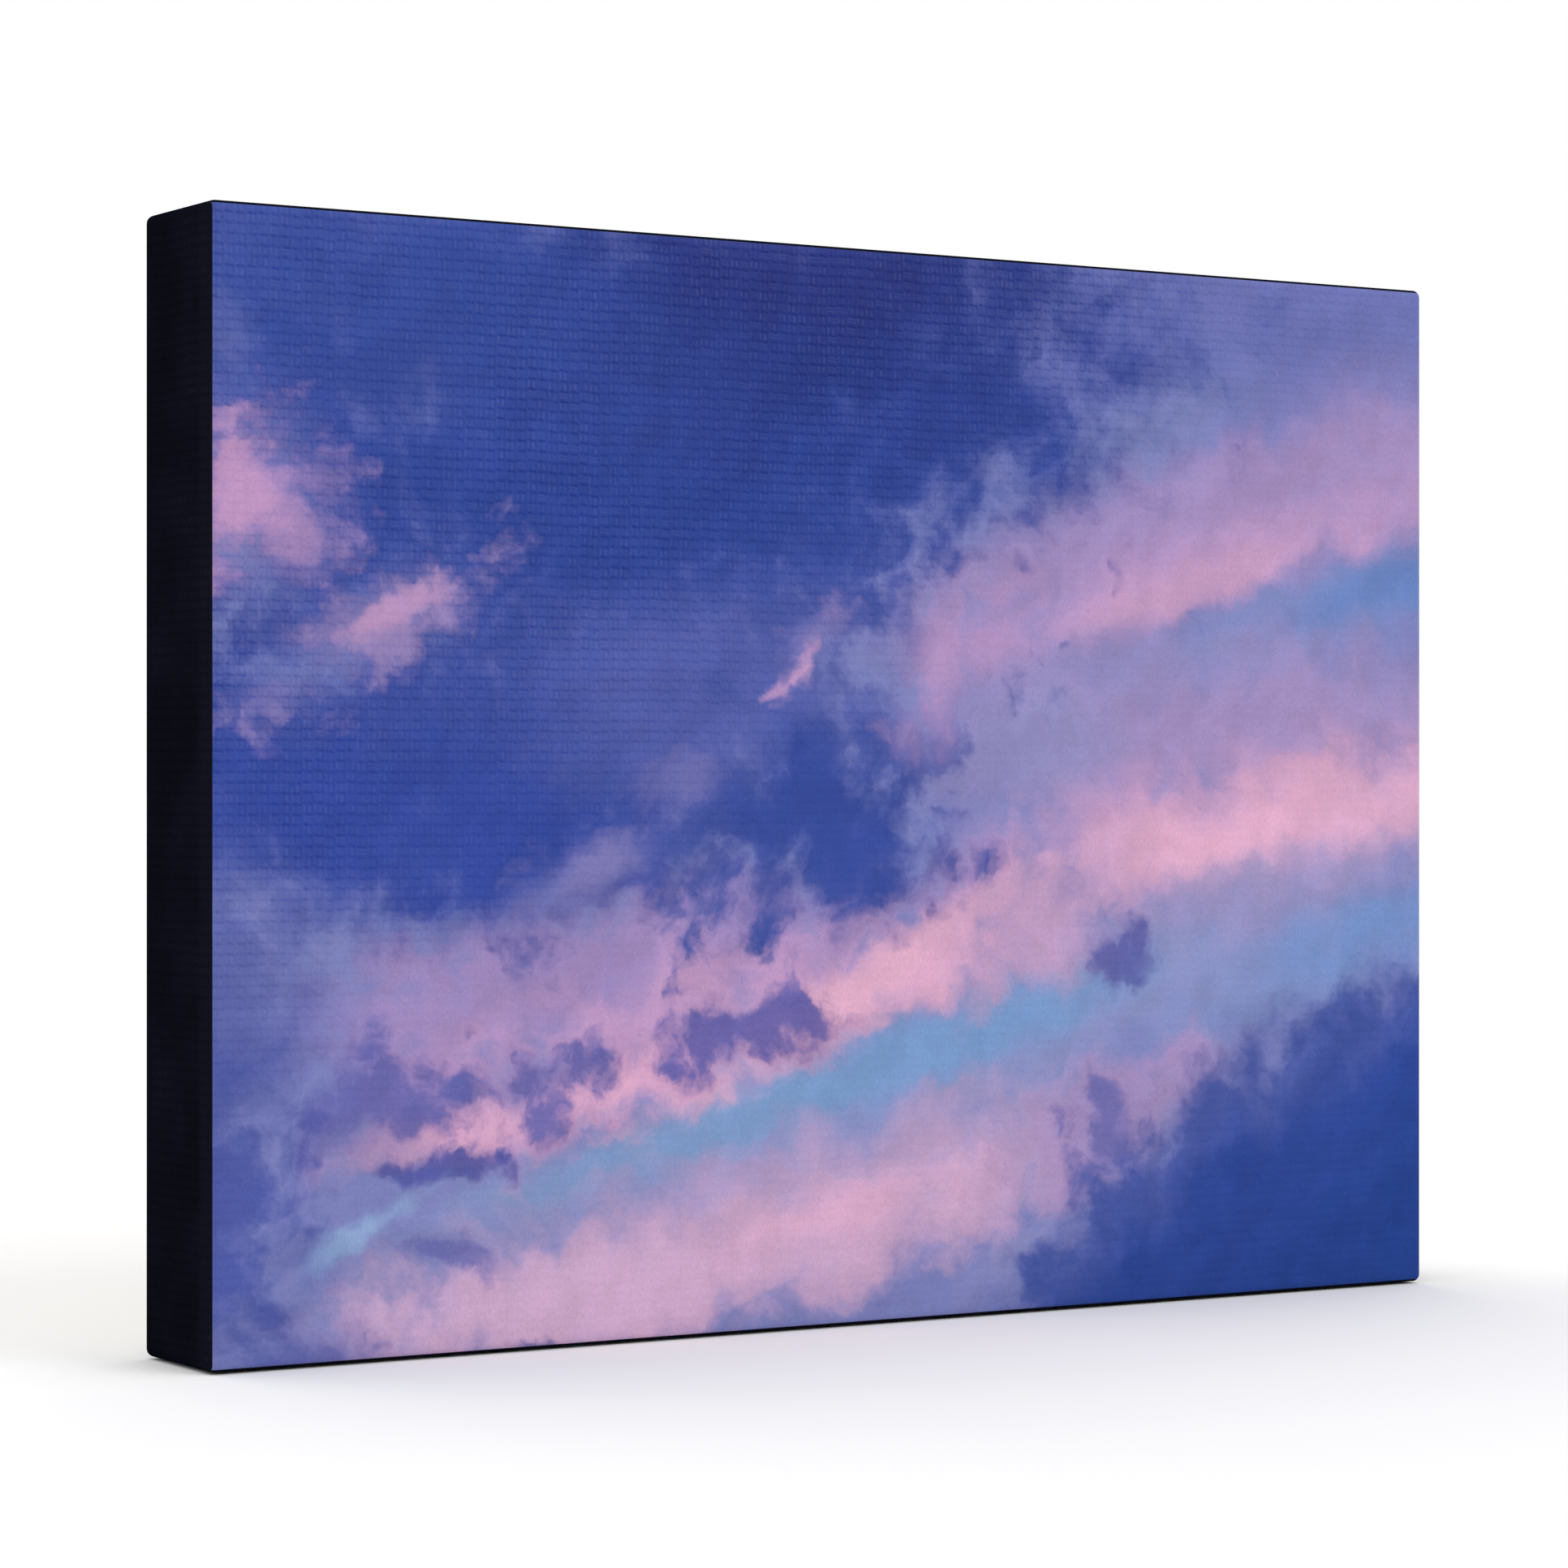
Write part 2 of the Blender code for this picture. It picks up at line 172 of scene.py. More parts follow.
# Soft strokes of an evening sky, painted one over another. Each has a colour, the middle of its place
# (across, up), its half length and half width, its tilt in degrees, how soft its rim is, how much the
# clouds' billows push the rim about, and how strongly it covers. Lengths are in heights of the picture.
STROKES = (
    # pale sky in the upper right, and the rose cloud that crosses it
    ("6a70ae", (1.10, 0.98), 0.40, 0.16, 4, 0.9, 0.4, 0.95),
    ("857eb5", (1.28, 0.86), 0.24, 0.08, 14, 1.0, 0.5, 0.9),
    ("8288ba", (0.98, 0.84), 0.15, 0.05, 24, 1.0, 0.5, 0.8),
    ("a08aba", (1.06, 0.745), 0.44, 0.095, 17, 0.6, 0.5, 0.95),
    ("b492be", (1.12, 0.725), 0.30, 0.050, 15, 1.0, 0.7, 0.9),
    ("c89dc1", (1.08, 0.700), 0.17, 0.026, 15, 1.1, 0.8, 0.85),
    ("b28fbc", (0.80, 0.640), 0.10, 0.065, 24, 0.9, 0.9, 0.85),
    # blue gap, then the wide rose bank in the middle
    ("7a86bb", (1.22, 0.670), 0.30, 0.040, 14, 0.7, 0.35, 0.95),
    ("6683bf", (1.32, 0.695), 0.16, 0.028, 14, 0.9, 0.3, 0.85),
    ("9389bb", (0.98, 0.600), 0.26, 0.050, 10, 1.0, 0.6, 0.85),
    ("a28cbb", (1.12, 0.545), 0.38, 0.070, 6, 1.0, 0.5, 0.9),
    ("c199c0", (1.13, 0.456), 0.36, 0.070, 7, 0.9, 0.6, 0.95),
    ("e0abc6", (1.10, 0.442), 0.22, 0.054, 15, 1.1, 0.7, 0.95),
    ("dba9c7", (1.28, 0.452), 0.15, 0.045, 12, 1.1, 0.6, 0.9),
    ("8e8cbd", (0.86, 0.530), 0.12, 0.050, 10, 1.0, 0.7, 0.8),
    # lower blue gaps
    ("9892c1", (1.10, 0.365), 0.34, 0.050, 12, 0.9, 0.5, 0.9),
    ("7a8cc0", (1.20, 0.325), 0.26, 0.050, 12, 0.9, 0.35, 0.9),
    ("6f8fc5", (1.24, 0.345), 0.14, 0.030, 14, 1.0, 0.3, 0.7),
    ("8b91c1", (0.66, 0.215), 0.50, 0.070, 14, 0.7, 0.35, 0.95),
    ("7299c9", (0.76, 0.258), 0.24, 0.036, 16, 1.0, 0.3, 0.85),
    ("7c9fcb", (0.50, 0.190), 0.22, 0.026, 13, 1.0, 0.3, 0.75),
    # long rose bank that climbs across the picture
    ("9f88ba", (0.40, 0.335), 0.46, 0.105, 9, 0.6, 0.8, 0.97),
    ("c098c0", (0.46, 0.290), 0.42, 0.070, 14, 0.9, 1.0, 0.92),
    ("e3aec7", (0.68, 0.315), 0.24, 0.036, 24, 0.9, 0.8, 0.95),
    ("dfa9c4", (0.34, 0.225), 0.26, 0.026, 14, 1.0, 0.9, 0.85),
    ("c29dc2", (0.85, 0.350), 0.14, 0.060, 20, 0.9, 0.8, 0.9),
    # low rose band
    ("b09bc4", (0.60, 0.110), 0.52, 0.085, 11, 0.6, 0.6, 0.9),
    ("d0a9c9", (0.54, 0.075), 0.40, 0.060, 11, 1.0, 0.7, 0.97),
    ("dcabc8", (0.62, 0.105), 0.16, 0.022, 14, 1.1, 0.8, 0.8),
    ("d0abcb", (0.32, 0.048), 0.24, 0.046, 10, 1.0, 0.7, 0.92),
    ("8f90c0", (0.90, 0.075), 0.14, 0.030, 20, 1.0, 0.7, 0.85),
    ("a48bba", (0.93, 0.180), 0.14, 0.070, 30, 0.9, 1.2, 0.8),
    # great dark mass in the upper left: its mid tones, then its deep ones
    ("6268a9", (0.37, 0.640), 0.42, 0.270, 0, 0.5, 0.8, 0.97),
    ("4957a0", (0.42, 0.770), 0.48, 0.240, 12, 0.6, 0.7, 0.97),
    ("3b4c98", (0.20, 0.520), 0.50, 0.120, -6, 0.8, 0.6, 0.97),
    ("364a97", (0.44, 0.860), 0.58, 0.200, 6, 0.8, 0.5, 0.97),
    ("2f4490", (0.48, 0.820), 0.38, 0.160, 20, 1.0, 0.5, 0.95),
    ("2b3a80", (0.58, 0.930), 0.34, 0.120, 4, 1.1, 0.5, 0.95),
    ("2e3577", (0.60, 0.990), 0.22, 0.060, -4, 1.2, 0.5, 0.55),
    ("374b97", (0.14, 0.950), 0.32, 0.110, -14, 1.1, 0.3, 0.90),
    ("34489a", (0.16, 0.460), 0.34, 0.090, -2, 0.9, 0.6, 0.95),
    ("525da4", (0.52, 0.560), 0.22, 0.110, -10, 0.8, 0.7, 0.93),
    ("4a58a0", (0.60, 0.460), 0.18, 0.120, -8, 0.7, 0.9, 0.95),
    ("364a98", (0.61, 0.455), 0.14, 0.090, -12, 0.8, 0.8, 0.96),
    ("5d65a7", (0.00, 0.270), 0.15, 0.185, 0, 0.8, 0.8, 0.95),
    # rose tears in its edge
    ("9781b6", (0.03, 0.740), 0.085, 0.090, -30, 0.9, 1.4, 0.9),
    ("c697be", (0.01, 0.740), 0.050, 0.066, -20, 1.0, 1.4, 0.75),
    ("9784b7", (0.155, 0.640), 0.148, 0.048, 33, 0.8, 1.2, 0.95),
    ("c096be", (0.160, 0.650), 0.090, 0.018, 33, 1.0, 1.2, 0.8),
    ("8d7fb6", (0.600, 0.620), 0.070, 0.030, 50, 0.9, 1.5, 0.85),
    ("cf9fc2", (0.585, 0.600), 0.045, 0.012, 40, 1.0, 1.3, 0.8),
    ("7a76b0", (0.460, 0.500), 0.060, 0.030, 30, 1.1, 1.5, 0.6),
    ("8780b5", (0.370, 0.430), 0.080, 0.030, 24, 1.1, 1.2, 0.75),
    ("8078b2", (0.060, 0.585), 0.055, 0.024, 30, 1.0, 1.3, 0.75),
    ("a189ba", (0.740, 0.600), 0.045, 0.080, -30, 1.1, 1.3, 0.80),
    ("b994be", (0.755, 0.610), 0.030, 0.055, -35, 1.2, 1.5, 0.60),
    # dark heads in the rose bank
    ("6062a6", (0.320, 0.248), 0.100, 0.048, 10, 0.7, 1.3, 0.92),
    ("5b5ca4", (0.525, 0.278), 0.125, 0.042, 4, 0.7, 1.3, 0.92),
    ("8b7db4", (0.640, 0.350), 0.060, 0.018, 16, 1.0, 1.6, 0.5),
    ("dda9c6", (0.745, 0.322), 0.090, 0.034, 24, 1.0, 0.9, 0.85),
    ("6062a7", (0.135, 0.220), 0.115, 0.062, 15, 0.8, 1.4, 0.88),
    ("50569f", (0.200, 0.165), 0.080, 0.022, 6, 0.7, 1.4, 0.9),
    ("5b5ea4", (0.955, 0.335), 0.044, 0.052, 40, 0.8, 1.4, 0.9),
    ("6668aa", (0.945, 0.165), 0.055, 0.066, 60, 0.9, 1.6, 0.85),
    # lower left corner
    ("4d59a2", (0.000, 0.140), 0.110, 0.170, 0, 0.7, 0.9, 0.97),
    ("94b4d8", (0.150, 0.110), 0.070, 0.014, 28, 1.1, 1.0, 0.7),
    ("6468a9", (0.225, 0.085), 0.055, 0.020, -8, 0.7, 1.4, 0.85),
    ("5a62a6", (0.050, 0.000), 0.130, 0.034, 0, 0.8, 1.1, 0.9),
    ("4c569e", (0.330, -0.002), 0.040, 0.018, 0, 0.7, 1.0, 0.9),
    # great dark cloud in the lower right
    ("4c5ba3", (1.183, -0.024), 0.534, 0.274, 31, 0.18, 0.20, 0.97),
    ("2d4795", (1.223, -0.044), 0.508, 0.264, 30, 0.34, 0.18, 0.97),
    ("234089", (1.300, -0.060), 0.440, 0.200, 24, 1.0, 0.4, 0.92),
)
SKY_BASE = "7b80b7"
RIM = 0.55  # half the width of a stroke's rim, for a softness of 1


def from_middle(g, across, up, centre, long, wide, tilt):
    """Distance from a stroke's middle, where 1 is its rim. It is worked out in plain numbers, because the
    renderer runs out of room in one material if it keeps a vector for each stroke."""
    square = 0.0
    for angle, half in ((math.radians(tilt), long), (math.radians(tilt + 90), wide)):
        share = Vector((math.cos(angle), math.sin(angle))) / half
        start = -share.dot(centre)
        off = g.math("MULTIPLY_ADD", across, share.x, g.math("MULTIPLY_ADD", up, share.y, start))
        square = g.math("MULTIPLY_ADD", off, off, square)
    return g.math("SQRT", square)


def picture(g, where):
    """The evening sky as a colour. Where is in heights of the picture, from its lower left corner."""
    middle = (0.5, 0.5, 0.5)
    drift = g.noise(where, 2.3, 2.0, 0.5, out=1, flat=True)
    curl = g.noise(where, 12.0, 7.0, 0.62, out=1, flat=True)
    slow = g.vector("MULTIPLY", g.vector("SUBTRACT", drift, middle), (0.06, 0.05, 0))
    quick = g.vector("MULTIPLY", g.vector("SUBTRACT", curl, middle), (0.050, 0.050, 0))
    bent = g.vector("ADD", g.vector("ADD", where, slow), quick)

    # Billows: rounded heads with wisps on them.
    cells = {"Vector": bent, "Scale": 15.0, "Detail": 3.0, "Roughness": 0.6, "Smoothness": 0.7}
    heads = g.node("TexVoronoi", cells, feature="SMOOTH_F1", voronoi_dimensions="2D")
    wisps = g.noise(bent, 8.0, 8.0, 0.62, flat=True)
    billow = g.math("SUBTRACT", g.math("MULTIPLY", wisps, 1.7), g.math("MULTIPLY", heads, 0.7))
    billow = g.math("SUBTRACT", billow, 0.52)

    across, up = (g.node("SeparateXYZ", {"Vector": bent}, axis) for axis in range(2))
    colour = srgb(SKY_BASE)
    for code, centre, long, wide, tilt, soft, rough, strength in STROKES:
        reach = from_middle(g, across, up, Vector(centre), long, wide, tilt)
        inside = g.math("MULTIPLY_ADD", billow, rough, g.math("SUBTRACT", 1.0, reach))
        mask = g.ramp(inside, -soft * RIM, soft * RIM, 0.0, strength)
        colour = g.mix(mask, colour, srgb(code))

    # Light from above: each wisp is brighter on the side that has less cloud over it.
    below = g.vector("ADD", bent, (0.012, -0.020, 0))
    lit = g.math("SUBTRACT", g.noise(below, 8.0, 5.0, 0.6, flat=True), wisps)
    shade = g.ramp(lit, -0.16, 0.16, 0.93, 1.07)
    return g.vector("SCALE", colour, shade)


# -------- cloth materials

WEAVE_PITCH = 2.1 * MM  # one rib of the cloth
BUNDLE_PITCH = 2.4 * MM  # one bundle of threads across the ribs
THREADS = 2  # in a bundle
PICKS = 3  # in a rib
YARNS = 4  # over and under one another, across a bundle and up a rib
EXPOSURE = 0.88  # of the ink, under the studio lights
# painted shade in the weave's gaps: the ink is multiplied by this colour there
GAP_SHADE_TINT = (0.42, 0.52, 0.78)


def cloth_coordinates(g):
    """Distances across and up the cloth's own surface, whichever way it faces."""
    where, x, y, z = g.place()
    facing = g.node("TexCoord", out=1)
    sides = []
    for axis in (0, 2):
        part = g.node("SeparateXYZ", {"Vector": facing}, axis)
        sides.append(g.math("GREATER_THAN", g.math("ABSOLUTE", part), 0.7))
    across = g.blend(sides[0], x, y)
    up = g.blend(sides[1], z, y)
    return where, across, up


def weave(g, where, across, up, ribs=1.0):
    """The cloth's ribs, as strong as asked, and the bundles of threads that cross them. Gives how deep in
    a gap a point is, how much of a thread's crown it shows, and how high it stands."""
    drift = g.noise(where, 110.0, 2.0)
    sway = g.noise(where, 38.0, 1.0)
    up = g.math("MULTIPLY", g.math("MULTIPLY_ADD", drift, 0.5 * MM, up), 1 / WEAVE_PITCH)
    across = g.math("MULTIPLY", g.math("MULTIPLY_ADD", sway, 1.1 * MM, across), 1 / BUNDLE_PITCH)
    column = g.node("TexWhiteNoise", {"W": g.math("FLOOR", across)}, noise_dimensions="1D")
    row = g.node("TexWhiteNoise", {"W": g.math("FLOOR", up)}, noise_dimensions="1D")
    up = g.math("MULTIPLY_ADD", column, 0.16, up)
    up = g.math("MULTIPLY_ADD", g.math("FRACT", across), 0.12, up)
    across = g.math("MULTIPLY_ADD", row, 0.12, across)
    cell_place = g.xyz(g.math("FLOOR", across), g.math("FLOOR", up))
    cell = g.node("TexWhiteNoise", {"Vector": cell_place}, noise_dimensions="2D")

    rib = g.math("ABSOLUTE", g.math("SINE", g.math("MULTIPLY", up, math.pi)))
    bundle = g.math("ABSOLUTE", g.math("SINE", g.math("MULTIPLY", across, math.pi)))
    thread = g.math("SINE", g.math("MULTIPLY", across, 2 * math.pi * THREADS))
    pick = g.math("SINE", g.math("MULTIPLY", up, 2 * math.pi * PICKS))
    slub = g.noise(g.xyz(across, g.math("MULTIPLY", up, 0.35)), 2.1, 2.0, flat=True)
    knit = g.noise(g.xyz(g.math("MULTIPLY", across, 0.6), up), 2.3, 2.0, flat=True)

    gap = g.math("MULTIPLY", g.ramp(rib, 0.72, 0.02), g.ramp(bundle, 0.05, 0.55, 0.25, 1.0))
    gap = g.math("MULTIPLY", gap, g.ramp(knit, 0.30, 0.60, 0.45, 1.15))
    seam = g.math("MULTIPLY", g.ramp(bundle, 0.34, 0.05), g.ramp(rib, 0.2, 0.8))
    between = g.math("MULTIPLY", g.ramp(thread, -0.2, -1.0), g.ramp(slub, 0.35, 0.65, 0.0, 0.42))
    over = g.math("SINE", g.math("MULTIPLY", across, 2 * math.pi * YARNS))
    under = g.math("SINE", g.math("MULTIPLY", up, 2 * math.pi * YARNS))
    crossing = g.math("MULTIPLY", over, under)
    gap = g.math("MULTIPLY", g.math("MULTIPLY_ADD", seam, 0.30, g.math("ADD", gap, between)), ribs)
    gap = g.math("MULTIPLY_ADD", g.math("MAXIMUM", crossing, 0.0), 0.16, gap)

    upright = g.math("MULTIPLY", g.ramp(thread, -0.1, 0.9), g.ramp(cell, 0.25, 0.75, 0.15, 1.0))
    upright = g.math("MULTIPLY", upright, g.ramp(slub, 0.35, 0.62))
    level = g.math("MULTIPLY", g.ramp(pick, -0.1, 0.9), g.ramp(cell, 0.24, 0.06, 0.0, 0.7))
    crown = g.math("MULTIPLY", g.math("MAXIMUM", upright, level), g.ramp(rib, 0.25, 0.75))

    height = g.math("MULTIPLY_ADD", crown, 0.45, g.math("MULTIPLY", rib, 0.75 * ribs))
    height = g.math("MULTIPLY_ADD", g.ramp(bundle, 0.0, 0.5), 0.40 * ribs, height)
    height = g.math("MULTIPLY_ADD", g.math("ADD", slub, knit), 0.5, height)
    height = g.math("MULTIPLY_ADD", crossing, -0.26, height)
    return gap, crown, height


def printed_material():
    """Front of the cloth: the picture in matt ink that lets the weave through."""
    g = Graph("printed_canvas_front")
    where, x, _, z = g.place()
    gap, crown, height = weave(g, where, x, z)
    from_left = g.math("MULTIPLY_ADD", x, 1 / HEIGHT, WIDTH / HEIGHT / 2)
    sky = picture(g, g.xyz(from_left, g.math("MULTIPLY", z, 1 / HEIGHT)))

    # The weave shows most in the upper left and in dark ink.
    patchy = g.noise(where, 26.0, 2.0)
    from_upper_left = g.math("SUBTRACT", g.math("MULTIPLY", x, 0.54), z)
    strength = g.ramp(from_upper_left, -0.215, -0.100, 0.60, 0.12)
    strength = g.math("MULTIPLY", strength, g.ramp(patchy, 0.3, 0.7, 0.75, 1.15))
    pale = g.node("RGBToBW", {"Color": sky})
    strength = g.math("MULTIPLY", strength, g.ramp(pale, 0.08, 0.32, 1.0, 0.22))

    # Painted shade makes the gaps darker and purer; thread crowns are paler, from thin ink and a painted
    # highlight.
    deep = g.mix(g.math("MULTIPLY", gap, strength, clamp=True), (1.0, 1.0, 1.0), GAP_SHADE_TINT)
    colour = g.mix(1.0, sky, deep, "MULTIPLY")
    # paler on the thread crowns: partly thin ink, partly a painted highlight
    thin = g.math("MULTIPLY", crown, g.math("MULTIPLY", strength, 0.058))
    colour = g.mix(thin, colour, srgb("c4cbe6"))
    linen = g.noise(g.vector("MULTIPLY", where, (1.0, 1.0, 0.7)), 1900.0, 2.0)
    shade = g.ramp(linen, 0.25, 0.75, 0.95, 1.05)
    colour = g.vector("SCALE", colour, g.math("MULTIPLY", shade, EXPOSURE))
    roughness = g.ramp(linen, 0.2, 0.8, 0.66, 0.80)
    normal = g.bump(height, 0.40, 0.10 * MM)
    return g.shade(colour, roughness, normal, Specular_IOR_Level=0.05)


def border_material():
    """Turned border of the cloth: black ink on the sides, bare primed cloth on the back."""
    g = Graph("printed_canvas_border")
    where, across, up = cloth_coordinates(g)
    x, y, z = (g.node("SeparateXYZ", {"Vector": where}, axis) for axis in range(3))
    gap, crown, height = weave(g, where, across, up, 0.6)
    from_side = g.math("SUBTRACT", WIDTH / 2, g.math("ABSOLUTE", x))
    from_end = g.math("MINIMUM", z, g.math("SUBTRACT", HEIGHT, z))
    inward = g.math("MINIMUM", from_side, from_end)
    ragged = g.noise(where, 70.0, 4.0)
    speckle = g.noise(where, 1300.0, 3.0)
    edge = g.math("MULTIPLY_ADD", ragged, 1.6 * MM, g.math("MULTIPLY_ADD", speckle, 1.0 * MM, -1.3 * MM))
    bare = g.ramp(g.math("ADD", inward, edge), BLACK_ON_BACK - 0.3 * MM, BLACK_ON_BACK + 0.5 * MM)
    on_back = g.ramp(y, BACK - 1.2 * MM, BACK - 0.6 * MM)
    bare = g.math("MULTIPLY", bare, on_back)

    worn = g.noise(where, 45.0, 3.0)
    ink = g.mix(g.ramp(worn, 0.35, 0.70), srgb("0b0c14"), srgb("0f1019"))
    # painted highlight: the black is lighter towards the face, along the rounded front edge
    ink = g.mix(g.ramp(y, FRONT + 7 * MM, FRONT + 3 * MM, 0.0, 0.6), ink, srgb("14151f"))
    # painted shade in the weave's gaps, then a painted highlight on the threads' crowns
    ink = g.mix(g.math("MULTIPLY", gap, 0.35, clamp=True), ink, srgb("05060b"))
    ink = g.mix(g.math("MULTIPLY", crown, 0.25), ink, srgb("151620"))
    ink = g.mix(g.math("MULTIPLY", g.ramp(speckle, 0.60, 0.80), 0.30), ink, srgb("1d1e28"))
    rubbed = g.math("MULTIPLY", g.ramp(height, 1.2, 1.8), g.ramp(worn, 0.55, 0.75, 0.0, 0.4))
    ink = g.mix(rubbed, ink, srgb("262732"))
    primed = g.mix(g.ramp(worn, 0.3, 0.7), srgb("e8e3d5"), srgb("ddd6c5"))
    # painted shade in the weave's gaps, then a painted highlight on the threads' crowns
    primed = g.mix(g.math("MULTIPLY", gap, 0.30, clamp=True), primed, srgb("a79d88"))
    primed = g.mix(g.math("MULTIPLY", crown, 0.35), primed, srgb("f1ede2"))
    stain = g.ramp(g.noise(where, 16.0, 3.0), 0.60, 0.75, 0.0, 0.25)
    primed = g.mix(stain, primed, srgb("c8bb9f"))
    colour = g.mix(bare, ink, primed)
    roughness = g.blend(bare, g.ramp(speckle, 0.2, 0.8, 0.60, 0.74), g.ramp(speckle, 0.2, 0.8, 0.86, 0.96))
    normal = g.bump(height, 0.75, 0.16 * MM)
    return g.shade(colour, roughness, normal, Specular_IOR_Level=0.0)


def reverse_material():
    """Reverse of the front: unbleached cotton with painted shade in its gaps and painted highlights on its
    threads.
    """
    g = Graph("canvas_reverse")
    where, x, _, z = g.place()
    gap, crown, height = weave(g, where, x, z, 0.45)
    cloudy = g.noise(where, 14.0, 4.0)
    fibres = g.noise(where, 1700.0, 3.0)
    colour = g.mix(g.ramp(cloudy, 0.3, 0.7), srgb("ded3b9"), srgb("d0c2a1"))
    # painted shade between the threads, then a painted highlight on their crowns
    colour = g.mix(g.ramp(gap, 0.0, 0.8, 0.0, 0.55), colour, srgb("9c8c6a"))
    colour = g.mix(g.math("MULTIPLY", crown, 0.40), colour, srgb("e9e0ca"))
    colour = g.mix(g.ramp(fibres, 0.55, 0.75, 0.0, 0.30), colour, srgb("f1ead9"))
    husk = g.noise(g.vector("MULTIPLY", where, (1.0, 1.0, 0.5)), 1150.0, 1.0)
    colour = g.mix(g.ramp(husk, 0.76, 0.82, 0.0, 0.55), colour, srgb("7d6644"))
    normal = g.bump(g.math("MULTIPLY_ADD", fibres, 0.5, height), 0.9, 0.18 * MM)
    return g.shade(colour, g.ramp(fibres, 0.2, 0.8, 0.88, 0.98), normal, Specular_IOR_Level=0.10)


def thread_material():
    """Loose cotton threads."""
    g = Graph("canvas_threads")
    where, *_ = g.place()
    twist = g.noise(where, 2600.0, 2.0)
    colour = g.mix(g.ramp(twist, 0.3, 0.7), srgb("f1ece0"), srgb("c9bea4"))
    return g.shade(colour, g.ramp(twist, 0.2, 0.8, 0.85, 0.95), g.bump(twist, 0.5, 0.03 * MM),
                   Specular_IOR_Level=0.1)


# -------- wood, metal and rubber


def grain_coordinates(g, along, offset):
    """Object coordinates turned so that X runs with the grain, and moved to another part of the tree."""
    where, x, y, z = g.place()
    first, second = (x, z) if along == "X" else (z, x)
    turned = g.xyz(first, y, second)
    return g.vector("ADD", turned, offset)


RING_WIDTH = 2.7 * MM
SAW_PITCH = 2.6 * MM
PINE_BARS = (  # side, way of the grain, part of the tree, then in millimetres where the pith is (depth,
    # across) and the knot on the back (along, across, radius)
    ("bottom", "X", (1.3, 0.2, 0.5), (62, -21), (-52, 31, 2.6)),
    ("right", "Z", (4.1, 1.2, 2.5), (-55, 118), (154, 121, 2.4)),
    ("top", "X", (7.7, 3.2, 1.5), (70, 224), (88, 198, 2.3)),
    ("left", "Z", (9.2, 5.1, 0.4), (64, -150), (70, -119, 1.3)),
)


def part_round_knot(g, along, across, depth, knot):
    """Bends the grain round a knot, as water parts round a post. Gives the bent distance across the grain,
    and the distance from the knot's heart in the knot's radii."""
    knot_along, knot_across, radius = (value * MM for value in knot)
    side = g.math("MULTIPLY", g.math("SUBTRACT", along, knot_along), 0.80 / radius)
    over = g.math("MULTIPLY", g.math("SUBTRACT", across, knot_across), 1 / radius)
    under = g.math("MULTIPLY", g.math("SUBTRACT", depth, WOOD_BACK), 0.35 / radius)
    square = g.math("MULTIPLY_ADD", over, over, g.math("MULTIPLY", under, under))
    square = g.math("MULTIPLY_ADD", side, side, square)
    parted = g.math("MINIMUM", g.math("DIVIDE", 1.6, g.math("ADD", square, 0.6)), 1.0)
    across = g.math("MULTIPLY_ADD", g.math("MULTIPLY", over, -radius), parted, across)
    return across, g.math("SQRT", square)


